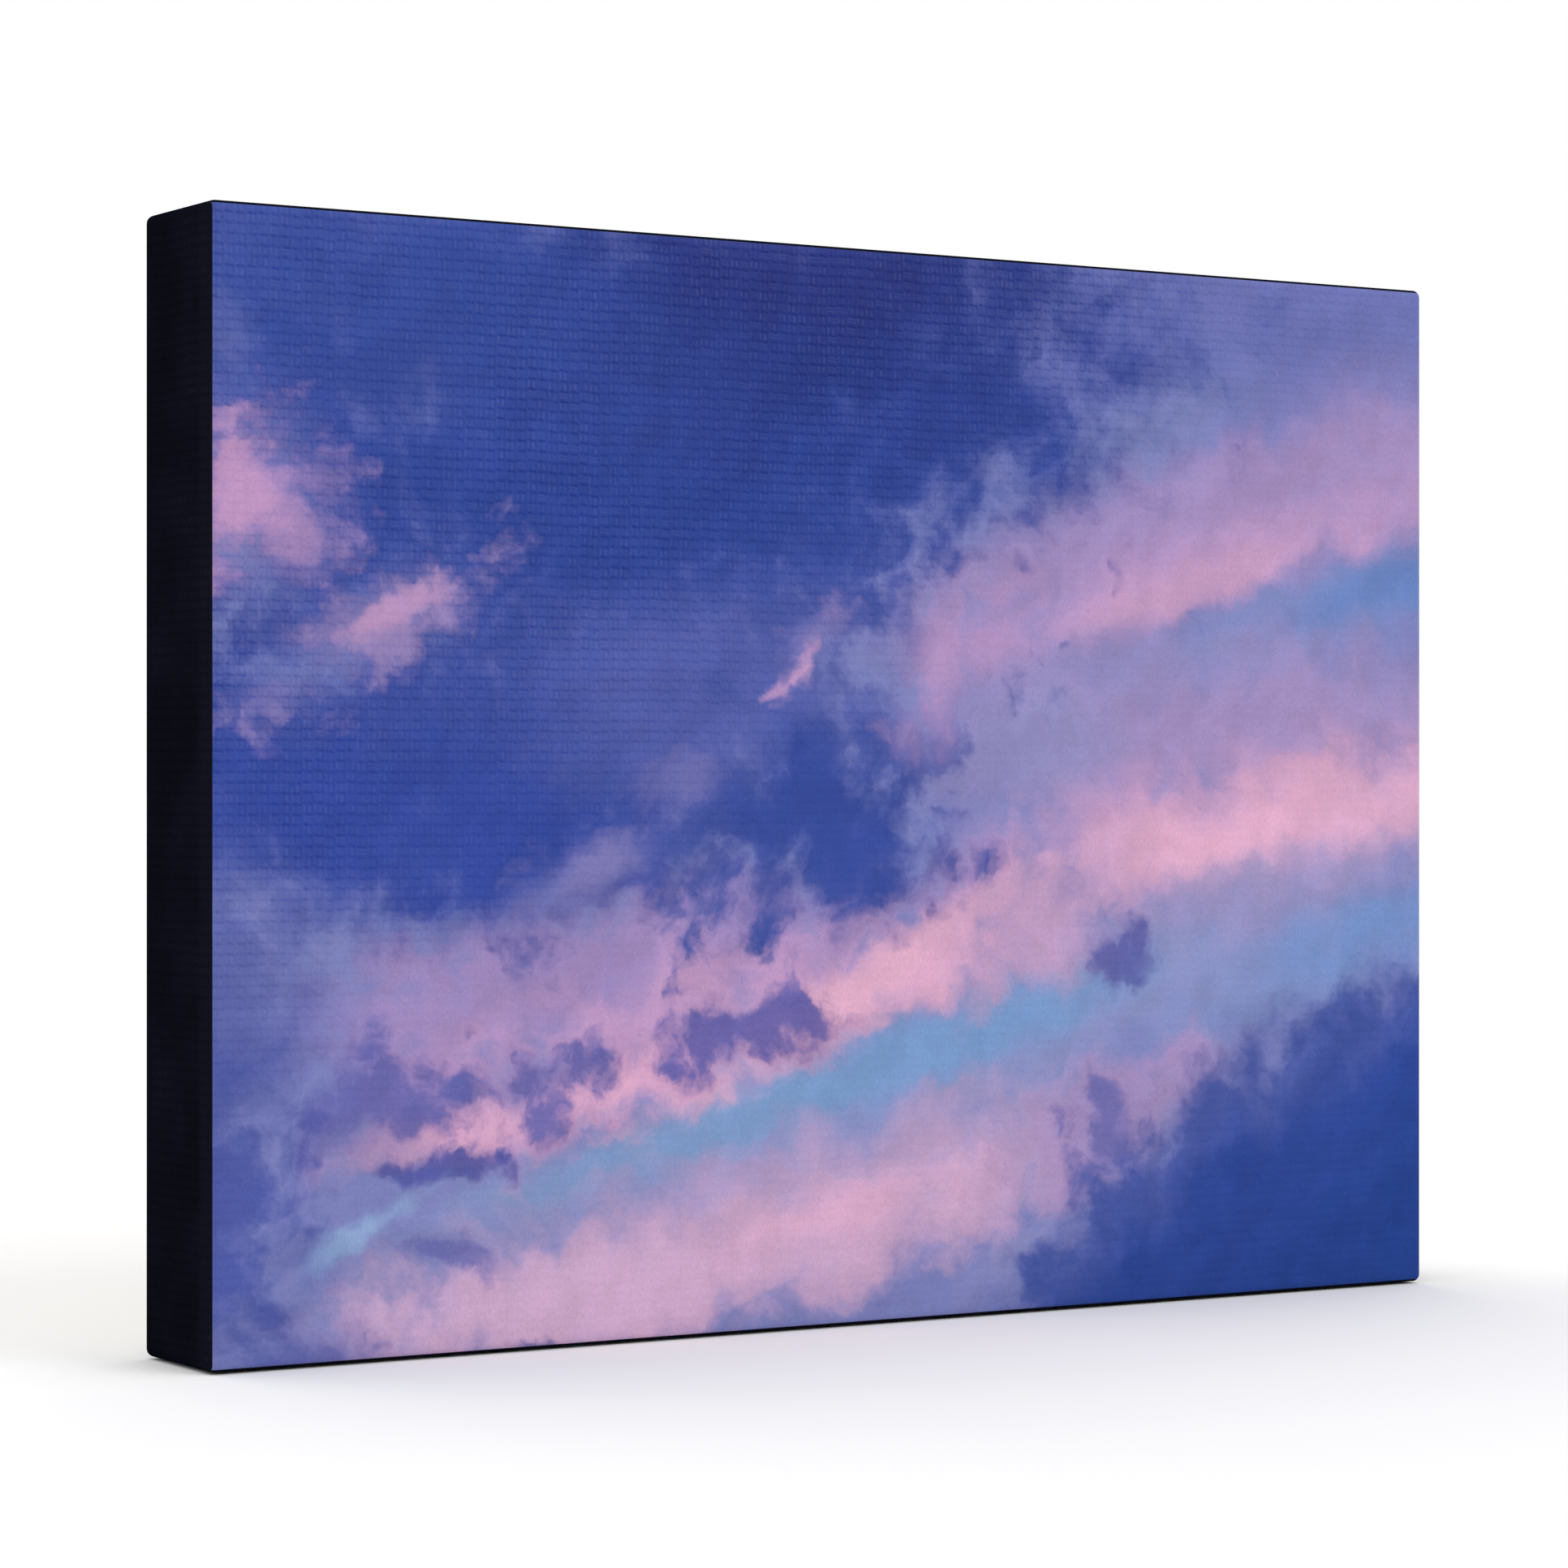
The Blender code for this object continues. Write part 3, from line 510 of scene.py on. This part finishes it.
def pine_material(name, along, offset, pith, knot):
    """Planed pine: rings round a distant pith, fine fibres and a knot."""
    g = Graph("pine_" + name)
    where = grain_coordinates(g, along, (0, 0, 0))
    a, depth, across = (g.node("SeparateXYZ", {"Vector": where}, axis) for axis in range(3))
    across, from_knot = part_round_knot(g, a, across, depth, knot)
    shifted = g.vector("ADD", g.xyz(a, depth, across), offset)
    sway = g.noise(g.vector("MULTIPLY", shifted, (3.0, 14.0, 14.0)), 1.0, 2.0)
    tone = g.noise(g.vector("MULTIPLY", shifted, (6.0, 40.0, 40.0)), 1.0, 2.0)
    fibre = g.noise(g.vector("MULTIPLY", shifted, (22.0, 2400.0, 2400.0)), 1.0, 3.0, 0.6)
    streak = g.noise(g.vector("MULTIPLY", shifted, (9.0, 320.0, 320.0)), 1.0, 3.0)

    off_depth = g.math("SUBTRACT", depth, pith[0] * MM)
    off_across = g.math("SUBTRACT", across, pith[1] * MM)
    square = g.math("MULTIPLY_ADD", off_depth, off_depth, g.math("MULTIPLY", off_across, off_across))
    from_pith = g.math("SQRT", square)
    rings = g.math("MULTIPLY", g.math("MULTIPLY_ADD", sway, 9 * MM, from_pith), 1 / RING_WIDTH)
    season = g.math("FRACT", rings)
    year = g.node("TexWhiteNoise", {"W": g.math("FLOOR", rings)}, noise_dimensions="1D")
    late = g.math("MULTIPLY", g.ramp(season, 0.35, 0.92), g.ramp(season, 1.0, 0.93))
    late = g.math("MULTIPLY", late, g.ramp(year, 0.0, 1.0, 0.45, 0.85))

    colour = g.mix(g.ramp(tone, 0.25, 0.75), srgb("e8cfa2"), srgb("dcbb86"))
    colour = g.mix(late, colour, srgb("bf8a50"))
    colour = g.mix(g.ramp(streak, 0.45, 0.75, 0.0, 0.35), colour, srgb("c99a62"))
    colour = g.mix(g.ramp(fibre, 0.50, 0.75, 0.0, 0.50), colour, srgb("a87a47"))
    colour = g.mix(g.ramp(fibre, 0.48, 0.25, 0.0, 0.30), colour, srgb("f2deb8"))
    ragged = g.noise(where, 420.0, 3.0)
    from_knot = g.math("MULTIPLY_ADD", g.math("SUBTRACT", ragged, 0.5), 0.35, from_knot)
    colour = g.mix(g.ramp(from_knot, 2.6, 1.0, 0.0, 0.45), colour, srgb("c08a52"))
    heart = g.math("SINE", g.math("MULTIPLY", from_knot, 24.0))
    heart_colour = g.mix(g.ramp(heart, -1.0, 1.0), srgb("8c5c35"), srgb("a5713f"))
    heart_colour = g.mix(g.ramp(from_knot, 0.35, 0.05, 0.0, 0.8), heart_colour, srgb("5b3820"))
    heart_colour = g.mix(g.ramp(from_knot, 0.82, 0.97), heart_colour, srgb("482b17"))
    colour = g.mix(g.ramp(from_knot, 1.08, 0.98), colour, heart_colour)
    handled = g.ramp(g.noise(shifted, 30.0, 3.0), 0.58, 0.75, 0.0, 0.22)
    colour = g.mix(handled, colour, srgb("a98a62"))

    height = g.math("MULTIPLY_ADD", fibre, 0.8, g.math("MULTIPLY", late, 0.5))
    strokes = g.math("MULTIPLY", a, 2 * math.pi / SAW_PITCH)
    saw = g.math("SINE", g.math("MULTIPLY_ADD", sway, 6.0, strokes))
    height = g.math("MULTIPLY_ADD", saw, 0.16, height)
    roughness = g.ramp(fibre, 0.2, 0.8, 0.58, 0.80)
    return g.shade(colour, roughness, g.bump(height, 0.55, 0.14 * MM), Specular_IOR_Level=0.25)


def beech_material(name, along, offset):
    """Beech: even pinkish wood with short dark flecks along the grain."""
    g = Graph("beech_" + name)
    where = grain_coordinates(g, along, offset)
    fleck = g.noise(g.vector("MULTIPLY", where, (330.0, 2600.0, 2600.0)), 1.0, 2.0)
    band = g.noise(g.vector("MULTIPLY", where, (20.0, 260.0, 260.0)), 1.0, 3.0)
    colour = g.mix(g.ramp(band, 0.3, 0.7), srgb("ddb98e"), srgb("c8996b"))
    colour = g.mix(g.ramp(fleck, 0.60, 0.72, 0.0, 0.65), colour, srgb("8f5f3a"))
    colour = g.mix(g.ramp(fleck, 0.40, 0.25, 0.0, 0.30), colour, srgb("edd3b0"))
    return g.shade(colour, g.ramp(band, 0.2, 0.8, 0.50, 0.68), g.bump(fleck, 0.5, 0.08 * MM),
                   Specular_IOR_Level=0.3)


def staple_material():
    """Galvanised wire: bright zinc with a frosty, slightly scuffed skin."""
    g = Graph("staple_zinc")
    where, *_ = g.place()
    frost = g.noise(where, 1800.0, 3.0)
    scuff = g.noise(g.vector("MULTIPLY", where, (120.0, 3000.0, 3000.0)), 1.0, 2.0)
    dull = g.noise(where, 60.0, 2.0)
    colour = g.mix(g.ramp(frost, 0.3, 0.7), srgb("c9ccd0"), srgb("9ea3a9"))
    colour = g.mix(g.ramp(dull, 0.50, 0.75, 0.0, 0.5), colour, srgb("7d8084"))
    roughness = g.math("ADD", g.ramp(frost, 0.2, 0.8, 0.26, 0.44), g.ramp(scuff, 0.5, 0.8, 0.0, 0.12))
    return g.shade(colour, roughness, g.bump(scuff, 0.4, 0.03 * MM), Metallic=1.0)


def brass_material(name, polish):
    """Brass-plated steel, with duller patches and fine rolling lines. A lower polish number is shinier."""
    g = Graph("brass_" + name)
    where, *_ = g.place()
    lines = g.noise(g.vector("MULTIPLY", where, (60.0, 900.0, 4200.0)), 1.0, 2.0)
    tarnish = g.noise(where, 160.0, 4.0)
    pits = g.noise(where, 2400.0, 2.0)
    colour = g.mix(g.ramp(tarnish, 0.40, 0.70), srgb("d9b15c"), srgb("a87f3a"))
    colour = g.mix(g.ramp(pits, 0.66, 0.80, 0.0, 0.6), colour, srgb("5d4523"))
    colour = g.mix(g.ramp(lines, 0.55, 0.80, 0.0, 0.3), colour, srgb("f0d489"))
    dulled = g.ramp(tarnish, 0.3, 0.7, polish, polish + 0.16)
    roughness = g.math("ADD", dulled, g.ramp(lines, 0.4, 0.8, 0.0, 0.10))
    height = g.math("MULTIPLY_ADD", pits, -0.6, lines)
    return g.shade(colour, roughness, g.bump(height, 0.35, 0.03 * MM), Metallic=1.0)


def rubber_material():
    """Grey self-adhesive rubber with a moulded, dusty skin."""
    g = Graph("bumper_rubber")
    where, *_ = g.place()
    skin = g.noise(where, 2200.0, 3.0)
    dust = g.noise(where, 500.0, 4.0)
    colour = g.mix(g.ramp(skin, 0.3, 0.7), srgb("55575a"), srgb("47494c"))
    colour = g.mix(g.ramp(dust, 0.52, 0.75, 0.0, 0.5), colour, srgb("85837d"))
    return g.shade(colour, g.ramp(dust, 0.3, 0.7, 0.55, 0.82), g.bump(skin, 0.6, 0.05 * MM),
                   Specular_IOR_Level=0.35)


def floor_material():
    """Plain white studio floor."""
    g = Graph("floor")
    where, *_ = g.place()
    patch = g.noise(where, 3.0, 2.0)
    colour = g.mix(g.ramp(patch, 0.3, 0.7), (0.81, 0.81, 0.812), (0.83, 0.83, 0.832))
    return g.shade(colour, g.ramp(patch, 0.3, 0.7, 0.9, 0.95), g.bump(patch, 0.05, 1 * MM),
                   Specular_IOR_Level=0.0)


def finish_cad_parts():
    """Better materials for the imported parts, in their own slots."""
    finishes = {"bar_" + bar[0]: pine_material(*bar) for bar in PINE_BARS}
    beech_x = beech_material("x", "X", (0.3, 2.0, 1.0))
    beech_z = beech_material("z", "Z", (5.3, 1.0, 2.0))
    finishes.update({
        "key_bottom": beech_z,
        "key_top": beech_z,
        "key_left": beech_x,
        "key_right": beech_x,
        "staple": staple_material(),
        "bumper": rubber_material(),
        "hanger_nail": brass_material("nail", 0.20),
        "hanger": brass_material("hanger", 0.26),
    })
    for name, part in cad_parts.items():
        material = next((made for start, made in finishes.items() if name.startswith(start)), None)
        if material:
            for slot in part.material_slots:
                slot.material = material


# -------- cloth shapes

NEAR_CORNER = 36 * MM  # along a side, how far the finer columns reach
FINE_COLUMN = 1.5 * MM
COARSE_COLUMN = 4 * MM
FOLD_COLUMN = 0.08 * MM  # half the width of the fold's step
SIDE_ROW = 1.5 * MM  # between rows of points on the sides
FLAP_ROWS = 20
FAN = 6  # steps round each corner
WAVE = 0.16 * MM  # slow waves of the turned cloth
CRUMPLE = 0.07 * MM  # and quick ones
PUCKER = 0.10 * MM  # height, length and reach of the ripples beside a staple
PUCKER_LENGTH = 5.2 * MM
PUCKER_REACH = 13 * MM
MITRE_RIDGE = 0.12 * MM  # along the folded edge of a mitre
MITRE_ROLL = 0.22 * MM  # how far that edge rolls over
FLAT_LENGTHS = (WIDTH - 2 * ROUND, HEIGHT - 2 * ROUND)
SIDES = (  # first corner of the flat rectangle, direction along the side, outward angle in degrees
    ("bottom", (-1, 0), (1, 0), -90),
    ("right", (1, 0), (0, 1), 0),
    ("top", (1, 1), (-1, 0), 90),
    ("left", (-1, 1), (0, -1), 180),
)
SIDE_NAMES = [side[0] for side in SIDES]
FOLDED_SIDES = ("top", "bottom")  # the corner folds lie on these


def smooth(value, low, high):
    """0 below low, 1 above high, eased between them."""
    share = min(max((value - low) / (high - low), 0.0), 1.0)
    return share * share * (3 - 2 * share)


def columns(length, coarse=COARSE_COLUMN):
    """Distances along one side: close together near both corners and at the corner folds."""
    near = [0.0, FOLD_FROM_EDGE - FOLD_COLUMN, FOLD_FROM_EDGE + FOLD_COLUMN]
    near += [FINE_COLUMN * step for step in range(2, int(NEAR_CORNER / FINE_COLUMN) + 1)]
    span = length - 2 * near[-1]
    steps = round(span / coarse)
    middle = [near[-1] + span * step / steps for step in range(1, steps)]
    return near + middle + [length - distance for distance in reversed(near)]


ACROSS = columns(FLAT_LENGTHS[0])
UP = columns(FLAT_LENGTHS[1])


def corner(signs):
    """A corner of the flat rectangle inside the rounded edges, from its signs across and up."""
    return Vector((signs[0] * FLAT_LENGTHS[0] / 2, ROUND + signs[1] * FLAT_LENGTHS[1]))


def outward(degrees):
    facing = math.radians(degrees)
    return Vector((math.cos(facing), math.sin(facing)))


def round_the_edge():
    """Stations round the flat rectangle: a point on it, the outward direction, the side, and how far along
    the side the nearer corner is."""
    stations = []
    for name, signs, direction, angle in SIDES:
        start = corner(signs)
        length = FLAT_LENGTHS[0] if direction[0] else FLAT_LENGTHS[1]
        for along in columns(length):
            from_corner = min(along, length - along)
            stations.append((start + Vector(direction) * along, outward(angle), name, from_corner))
        for step in range(1, FAN):
            out = outward(angle + 90 * step / FAN)
            stations.append((start + Vector(direction) * length, out, "corner", 0.0))
    return stations


def folded(side, along, y):
    """Extra height of the corner fold on the top and bottom sides, over its tucked triangle."""
    if side not in FOLDED_SIDES:
        return 0.0
    behind = y - FRONT - FOLD_START
    over_fold = smooth(along, FOLD_FROM_EDGE - FOLD_COLUMN, FOLD_FROM_EDGE + FOLD_COLUMN)
    triangle = smooth(behind - along, -1.2 * MM, 1.2 * MM)
    return FOLD_STEP * over_fold * triangle * smooth(behind, 0, 8 * MM)


def ring(vertices, stations, out, y, facing_back=0.0):
    """Adds one loop of points outside the flat rectangle and returns their numbers."""
    numbers = []
    for base, direction, side, along in stations:
        fold = folded(side, along, y)
        spot = base + direction * (out + fold * out / ROUND)
        numbers.append(len(vertices))
        vertices.append((spot.x, y + fold * facing_back, spot.y))
    return numbers


def front_ring(vertices, stations, degrees, share=0.0):
    """One loop of the front's rounding, at an angle from the face or a share of the way on from it to the
    side. It turns further at the corners, so that the picture's are square."""
    numbers = []
    for base, direction, *_ in stations:
        steeper = math.sin(math.radians(degrees)) / max(abs(direction.x), abs(direction.y))
        start = math.degrees(math.asin(steeper))
        out, back = turn(start + (90 - start) * share)
        spot = base + direction * out
        numbers.append(len(vertices))
        vertices.append((spot.x, FRONT + back, spot.y))
    return numbers


def bridge(faces, inner, outer):
    """Faces between two closed loops of point numbers, the outer one further round the edge."""
    for index in range(len(inner)):
        after = (index + 1) % len(inner)
        corners = (inner[index], outer[index], outer[after], inner[after])
        face = list(dict.fromkeys(corners))
        if len(face) > 2:
            faces.append(face)


def piece(name, vertices, faces, material, crease=None):
    """A smooth mesh piece that rides on the frame. Edges that turn more than crease degrees stay sharp."""
    mesh = bpy.data.meshes.new(name)
    mesh.from_pydata([tuple(v) for v in vertices], [], faces)
    mesh.validate()
    mesh.shade_smooth()
    if crease:
        mesh.set_sharp_from_angle(angle=math.radians(crease))
    mesh.materials.append(material)
    made = bpy.data.objects.new(name, mesh)
    bpy.context.scene.collection.objects.link(made)
    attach(made, "frame")
    return made


def turn(degrees):
    """How far out and how far back the rounded edge is, at an angle from the face."""
    angle = math.radians(degrees)
    return ROUND * math.sin(angle), ROUND * (1 - math.cos(angle))


def build_front():
    """Printed front: a flat grid, and the first part of the rounding up to where the black starts."""
    stations = round_the_edge()
    vertices = []
    faces = []
    numbers = {}
    left, low = corner((-1, 0))
    for row, z in enumerate(UP):
        for column, x in enumerate(ACROSS):
            numbers[column, row] = len(vertices)
            vertices.append((left + x, FRONT, low + z))
    for row in range(len(UP) - 1):
        for column in range(len(ACROSS) - 1):
            near = numbers[column, row], numbers[column + 1, row]
            far = numbers[column + 1, row + 1], numbers[column, row + 1]
            faces.append([*near, *far])
    at = {}
    for (column, row), number in numbers.items():
        x, _, z = vertices[number]
        at[round(x * 1e6), round(z * 1e6)] = number
    inner = [at[round(base.x * 1e6), round(base.y * 1e6)] for base, *_ in stations]
    for degrees in (1, 10, 20, 30, PRINT_TURN - 1, PRINT_TURN):
        outer = front_ring(vertices, stations, degrees)
        bridge(faces, inner, outer)
        inner = outer
    return piece("canvas_front", vertices, faces, printed_material())


def staple_places(side):
    """Middles of the staples on one side, as distances along it from its first flat corner."""
    _, signs, direction, _ = next(entry for entry in SIDES if entry[0] == side)
    start = corner(signs)
    places = []
    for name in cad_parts:
        if name.startswith(f"staple_{side}_"):
            low, high = (Vector(end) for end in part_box(name))
            middle = (low + high) / 2
            places.append((Vector((middle.x, middle.z)) - start).dot(Vector(direction)))
    return places


def flap_lift(side, along, inset, from_mitre, staples):
    """How far the turned cloth stands off its nominal back plane."""
    seed = 31.0 * SIDE_NAMES.index(side)
    spot = Vector((along * 65 + seed, inset * 90, seed))
    lift = FLAP_LIFT + WAVE * noise.noise(spot) + CRUMPLE * noise.noise(spot * 3.1)
    for place in staples:
        aside = abs(along - place)
        beside = max(aside - STAPLE_HALF, 0.0)
        away = math.hypot(beside, inset - STAPLE_INSET)
        pulled = 1 - smooth(away, 0.5 * MM, 5.5 * MM)
        lift += (STAPLED_LIFT - lift) * pulled
        gather = math.exp(-((aside / PUCKER_REACH) ** 2)) * smooth(away, 1.0 * MM, 5 * MM)
        lift += PUCKER * gather * math.sin(2 * math.pi * (along - place) / PUCKER_LENGTH + 1.1)
    if side in FOLDED_SIDES:
        lift += MITRE_LIFT * (1 - smooth(from_mitre, 7 * MM, 15 * MM))
        lift += MITRE_RIDGE * math.exp(-(((from_mitre - 1.2 * MM) / (0.9 * MM)) ** 2))
    rise = smooth(inset, ROUND, ROUND + 3.0 * MM)
    return lift * rise


def cut_line(side, along):
    """Where the turned cloth is cut, from the outer edge: roughly straight, as scissors leave it."""
    seed = 17.0 * SIDE_NAMES.index(side) + 5
    wander = noise.noise(Vector((along * 22, seed, 0.5))) * 1.1 * MM
    nibble = noise.noise(Vector((along * 260, seed, 2.5))) * 0.22 * MM
    return FLAP + wander + nibble


def build_flap(vertices, faces, side, signs, direction):
    """One turned flap: a trapezoid on the back with mitred ends, a cut edge and its raw rim."""
    start = corner(signs)
    direction = Vector(direction)
    inward = Vector((-direction.y, direction.x))
    length = FLAT_LENGTHS[0] if direction.x else FLAT_LENGTHS[1]
    staples = staple_places(side)
    on_top = side in FOLDED_SIDES
    tuck = 0.0 if on_top else 2.5 * MM
    shares = [along / length for along in columns(length, FINE_COLUMN)]
    insets = [ROUND + (FLAP - ROUND) * step / FLAP_ROWS for step in range(FLAP_ROWS + 1)]
    grid = []
    for inset in insets:
        depth = inset - ROUND
        low = max(depth - tuck, 0.0)
        row = []
        for share in shares:
            along = low + (length - 2 * low) * share
            reach = depth * (cut_line(side, along) - ROUND) / (FLAP - ROUND)
            from_mitre = min(along - low, length - low - along) * math.sqrt(0.5)
            lift = flap_lift(side, along, reach + ROUND, from_mitre, staples)
            lift += folded(side, min(along, length - along), BACK) * (1 - smooth(depth, 0, 3 * MM))
            spot = start + direction * along + inward * reach
            row.append((spot, BACK + lift))
        grid.append(row)
    rim = WOOD_BACK + 0.05 * MM
    edge = grid[-1]
    grid.append([(spot + inward * 0.10 * MM, rim + (y - rim) * 0.55) for spot, y in edge])
    grid.append([(spot + inward * 0.06 * MM, rim) for spot, _ in edge])
    if on_top:
        grid = [mitre_rim(row, direction, index) for index, row in enumerate(grid)]
    first = len(vertices)
    across = len(grid[0])
    for row in grid:
        vertices.extend((spot.x, y, spot.y) for spot, y in row)
    for row in range(len(grid) - 1):
        for column in range(across - 1):
            near = first + row * across + column
            far = near + across
            faces.append([near, near + 1, far + 1, far])


def mitre_rim(row, direction, index):
    """A row of a top or bottom flap, with its folded ends rolled over and down to the flap beneath."""
    first, last = row[0], row[-1]
    settled = BACK - 0.1 * MM
    roll = MITRE_ROLL * min(index / 2, 1.0)
    before = [
        (first[0], settled),
        (first[0] - direction * roll, settled + (first[1] - settled) * 0.55),
    ]
    after = [
        (last[0] + direction * roll, settled + (last[1] - settled) * 0.55),
        (last[0], settled),
    ]
    return before + row + after


def build_border():
    """Turned border: the black sides with their corner folds, and the four flaps on the back."""
    stations = round_the_edge()
    vertices = []
    faces = []
    loops = [front_ring(vertices, stations, PRINT_TURN, share) for share in (0.0, 0.03, 0.35, 0.68, 1.0)]
    straight = BACK - FRONT - 2 * ROUND
    steps = round(straight / SIDE_ROW)
    for step in range(1, steps):
        loops.append(ring(vertices, stations, ROUND, FRONT + ROUND + straight * step / steps))
    for degrees in (90, 75, 60, 45, 30, 15, 1, 0):
        out, back = turn(degrees)
        facing_back = math.cos(math.radians(degrees))
        loops.append(ring(vertices, stations, out, BACK - back, facing_back))
    for inner, outer in zip(loops, loops[1:]):
        bridge(faces, inner, outer)
    for side, signs, direction, _ in SIDES:
        build_flap(vertices, faces, side, signs, direction)
    return piece("canvas_border", vertices, faces, border_material(), crease=42)


def build_reverse():
    """Reverse of the front, as far as the bars let it be seen, very slightly slack."""
    vertices = []
    faces = []
    half = WIDTH / 2 - REVERSE_INSET
    tall = HEIGHT - 2 * REVERSE_INSET
    wide, high, beside_bars = 72, 54, 9  # in cells of the grid
    for row in range(high + 1):
        for column in range(wide + 1):
            x = -half + 2 * half * column / wide
            z = REVERSE_INSET + tall * row / high
            slack = smooth(min(column, wide - column), 0, beside_bars)
            slack *= smooth(min(row, high - row), 0, beside_bars)
            wave = 0.10 * MM + 0.10 * MM * noise.noise(Vector((x * 30, z * 30, 4.0)))
            vertices.append((x, FRONT + CLOTH + wave * slack, z))
    for row in range(high):
        for column in range(wide):
            near = row * (wide + 1) + column
            far = near + wide + 1
            faces.append([near, far, far + 1, near + 1])
    return piece("canvas_reverse", vertices, faces, reverse_material())


THREAD_RADIUS = 0.085 * MM
THREAD_SIDES = 4
THREAD_ROOT = 0.6 * MM  # how far it starts inside the cut edge
THREAD_SPACING = 2.4 * MM
LONG_THREAD = 3 * MM
LONG_SHARE = 0.07


def tube(vertices, faces, path, radius):
    """Adds a thin tube along a path, pinched at its free end."""
    first = len(vertices)
    for index, spot in enumerate(path):
        ahead = path[min(index + 1, len(path) - 1)] - path[max(index - 1, 0)]
        side = ahead.cross(Vector((0, 1, 0))).normalized()
        over = ahead.cross(side).normalized()
        width = radius * (0.35 if index == len(path) - 1 else 1.0)
        for step in range(THREAD_SIDES):
            angle = 2 * math.pi * step / THREAD_SIDES
            vertices.append(spot + (side * math.cos(angle) + over * math.sin(angle)) * width)
    for index in range(len(path) - 1):
        for step in range(THREAD_SIDES):
            after = (step + 1) % THREAD_SIDES
            near = first + index * THREAD_SIDES
            far = near + THREAD_SIDES
            faces.append([near + step, near + after, far + after, far + step])
    for ring_start, order in ((first, 1), (first + (len(path) - 1) * THREAD_SIDES, -1)):
        faces.append([ring_start + step for step in range(THREAD_SIDES)][::order])


def build_threads():
    """Loose threads along the cut edge of the flaps, lying on the wood."""
    draws = random.Random(12)
    vertices = []
    faces = []
    for side, signs, direction, _ in SIDES:
        start = corner(signs)
        direction = Vector(direction)
        inward = Vector((-direction.y, direction.x))
        length = FLAT_LENGTHS[0] if direction.x else FLAT_LENGTHS[1]
        low = FLAP - ROUND + 2 * MM
        along = low
        while along < length - low:
            along += draws.expovariate(1 / THREAD_SPACING)
            if along > length - low:
                break
            long = draws.uniform(0.5, 2.0) * MM
            if draws.random() < LONG_SHARE:
                long = draws.uniform(4, 9) * MM
            heading = draws.uniform(-0.7, 0.7) * (1.6 if long > LONG_THREAD else 1.0)
            curl = draws.uniform(-0.5, 0.5)
            root = cut_line(side, along) - ROUND - THREAD_ROOT
            spot = start + direction * along + inward * root
            height = WOOD_BACK + draws.uniform(0.25, 0.6) * MM
            path = []
            steps = 4 if long < LONG_THREAD else 10
            for step in range(steps + 1):
                share = step / steps
                y = height + (WOOD_BACK + THREAD_RADIUS * 1.1 - height) * smooth(share, 0, 0.7)
                path.append(Vector((spot.x, y, spot.y)))
                way = inward * math.cos(heading) + direction * math.sin(heading)
                spot = spot + way * (long + THREAD_ROOT) / steps
                heading += curl * (1 if long < LONG_THREAD else 0.9)
            tube(vertices, faces, path, THREAD_RADIUS)
    return piece("canvas_frayed_threads", vertices, faces, thread_material())


def build_cloth():
    """The whole cloth, one sheet made as its front, its border and its reverse."""
    front = build_front()
    border = build_border()
    reverse = build_reverse()
    threads = build_threads()
    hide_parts("canvas")


# -------- stage, lights and camera


FLOOR_HALF = 60.0
FLOOR_CORNERS = ((-1, -1), (1, -1), (1, 1), (-1, 1))


def build_stage():
    """Pale floor under the object, a white world and two soft lights."""
    scene = bpy.context.scene
    scene.view_settings.view_transform = "Standard"
    floor_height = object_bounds()[0][2]
    mesh = bpy.data.meshes.new("floor")
    corners = [(across * FLOOR_HALF, away * FLOOR_HALF, floor_height) for across, away in FLOOR_CORNERS]
    mesh.from_pydata(corners, [], [(0, 1, 2, 3)])
    mesh.materials.append(floor_material())
    floor = bpy.data.objects.new("floor", mesh)
    scene.collection.objects.link(floor)

    world = bpy.data.worlds.new("studio")
    world.use_nodes = True
    world.node_tree.nodes["Background"].inputs["Color"].default_value = (1, 1, 1, 1)
    world.node_tree.nodes["Background"].inputs["Strength"].default_value = 1.0
    scene.world = world

    add_sun("key", 0.75, 35, (0.50, -1.0, 0.90))
    add_sun("back", 0.7, 70, (-0.25, 1.0, 1.5))


def add_sun(name, strength, softness, toward):
    """A soft distant light, from the direction given."""
    light = bpy.data.lights.new(name, "SUN")
    light.energy = strength
    light.angle = math.radians(softness)
    lamp = bpy.data.objects.new(name, light)
    lamp.rotation_euler = Vector(toward).to_track_quat("Z", "Y").to_euler()
    bpy.context.scene.collection.objects.link(lamp)


def build_camera():
    """Level camera to the left of the picture, at half its height."""
    lens = bpy.data.cameras.new("camera")
    lens.lens = 101.82
    lens.sensor_width = 36.0
    lens.clip_start = 0.01
    lens.clip_end = 300.0
    lens.shift_y = 0.0004
    camera = bpy.data.objects.new("camera", lens)
    camera.location = (-0.5132, -0.8066, 0.1146)
    camera.rotation_euler = (math.radians(90), 0, math.radians(-31.9))
    bpy.context.scene.collection.objects.link(camera)
    bpy.context.scene.camera = camera


build_camera()
build_cloth()
finish_cad_parts()
build_stage()
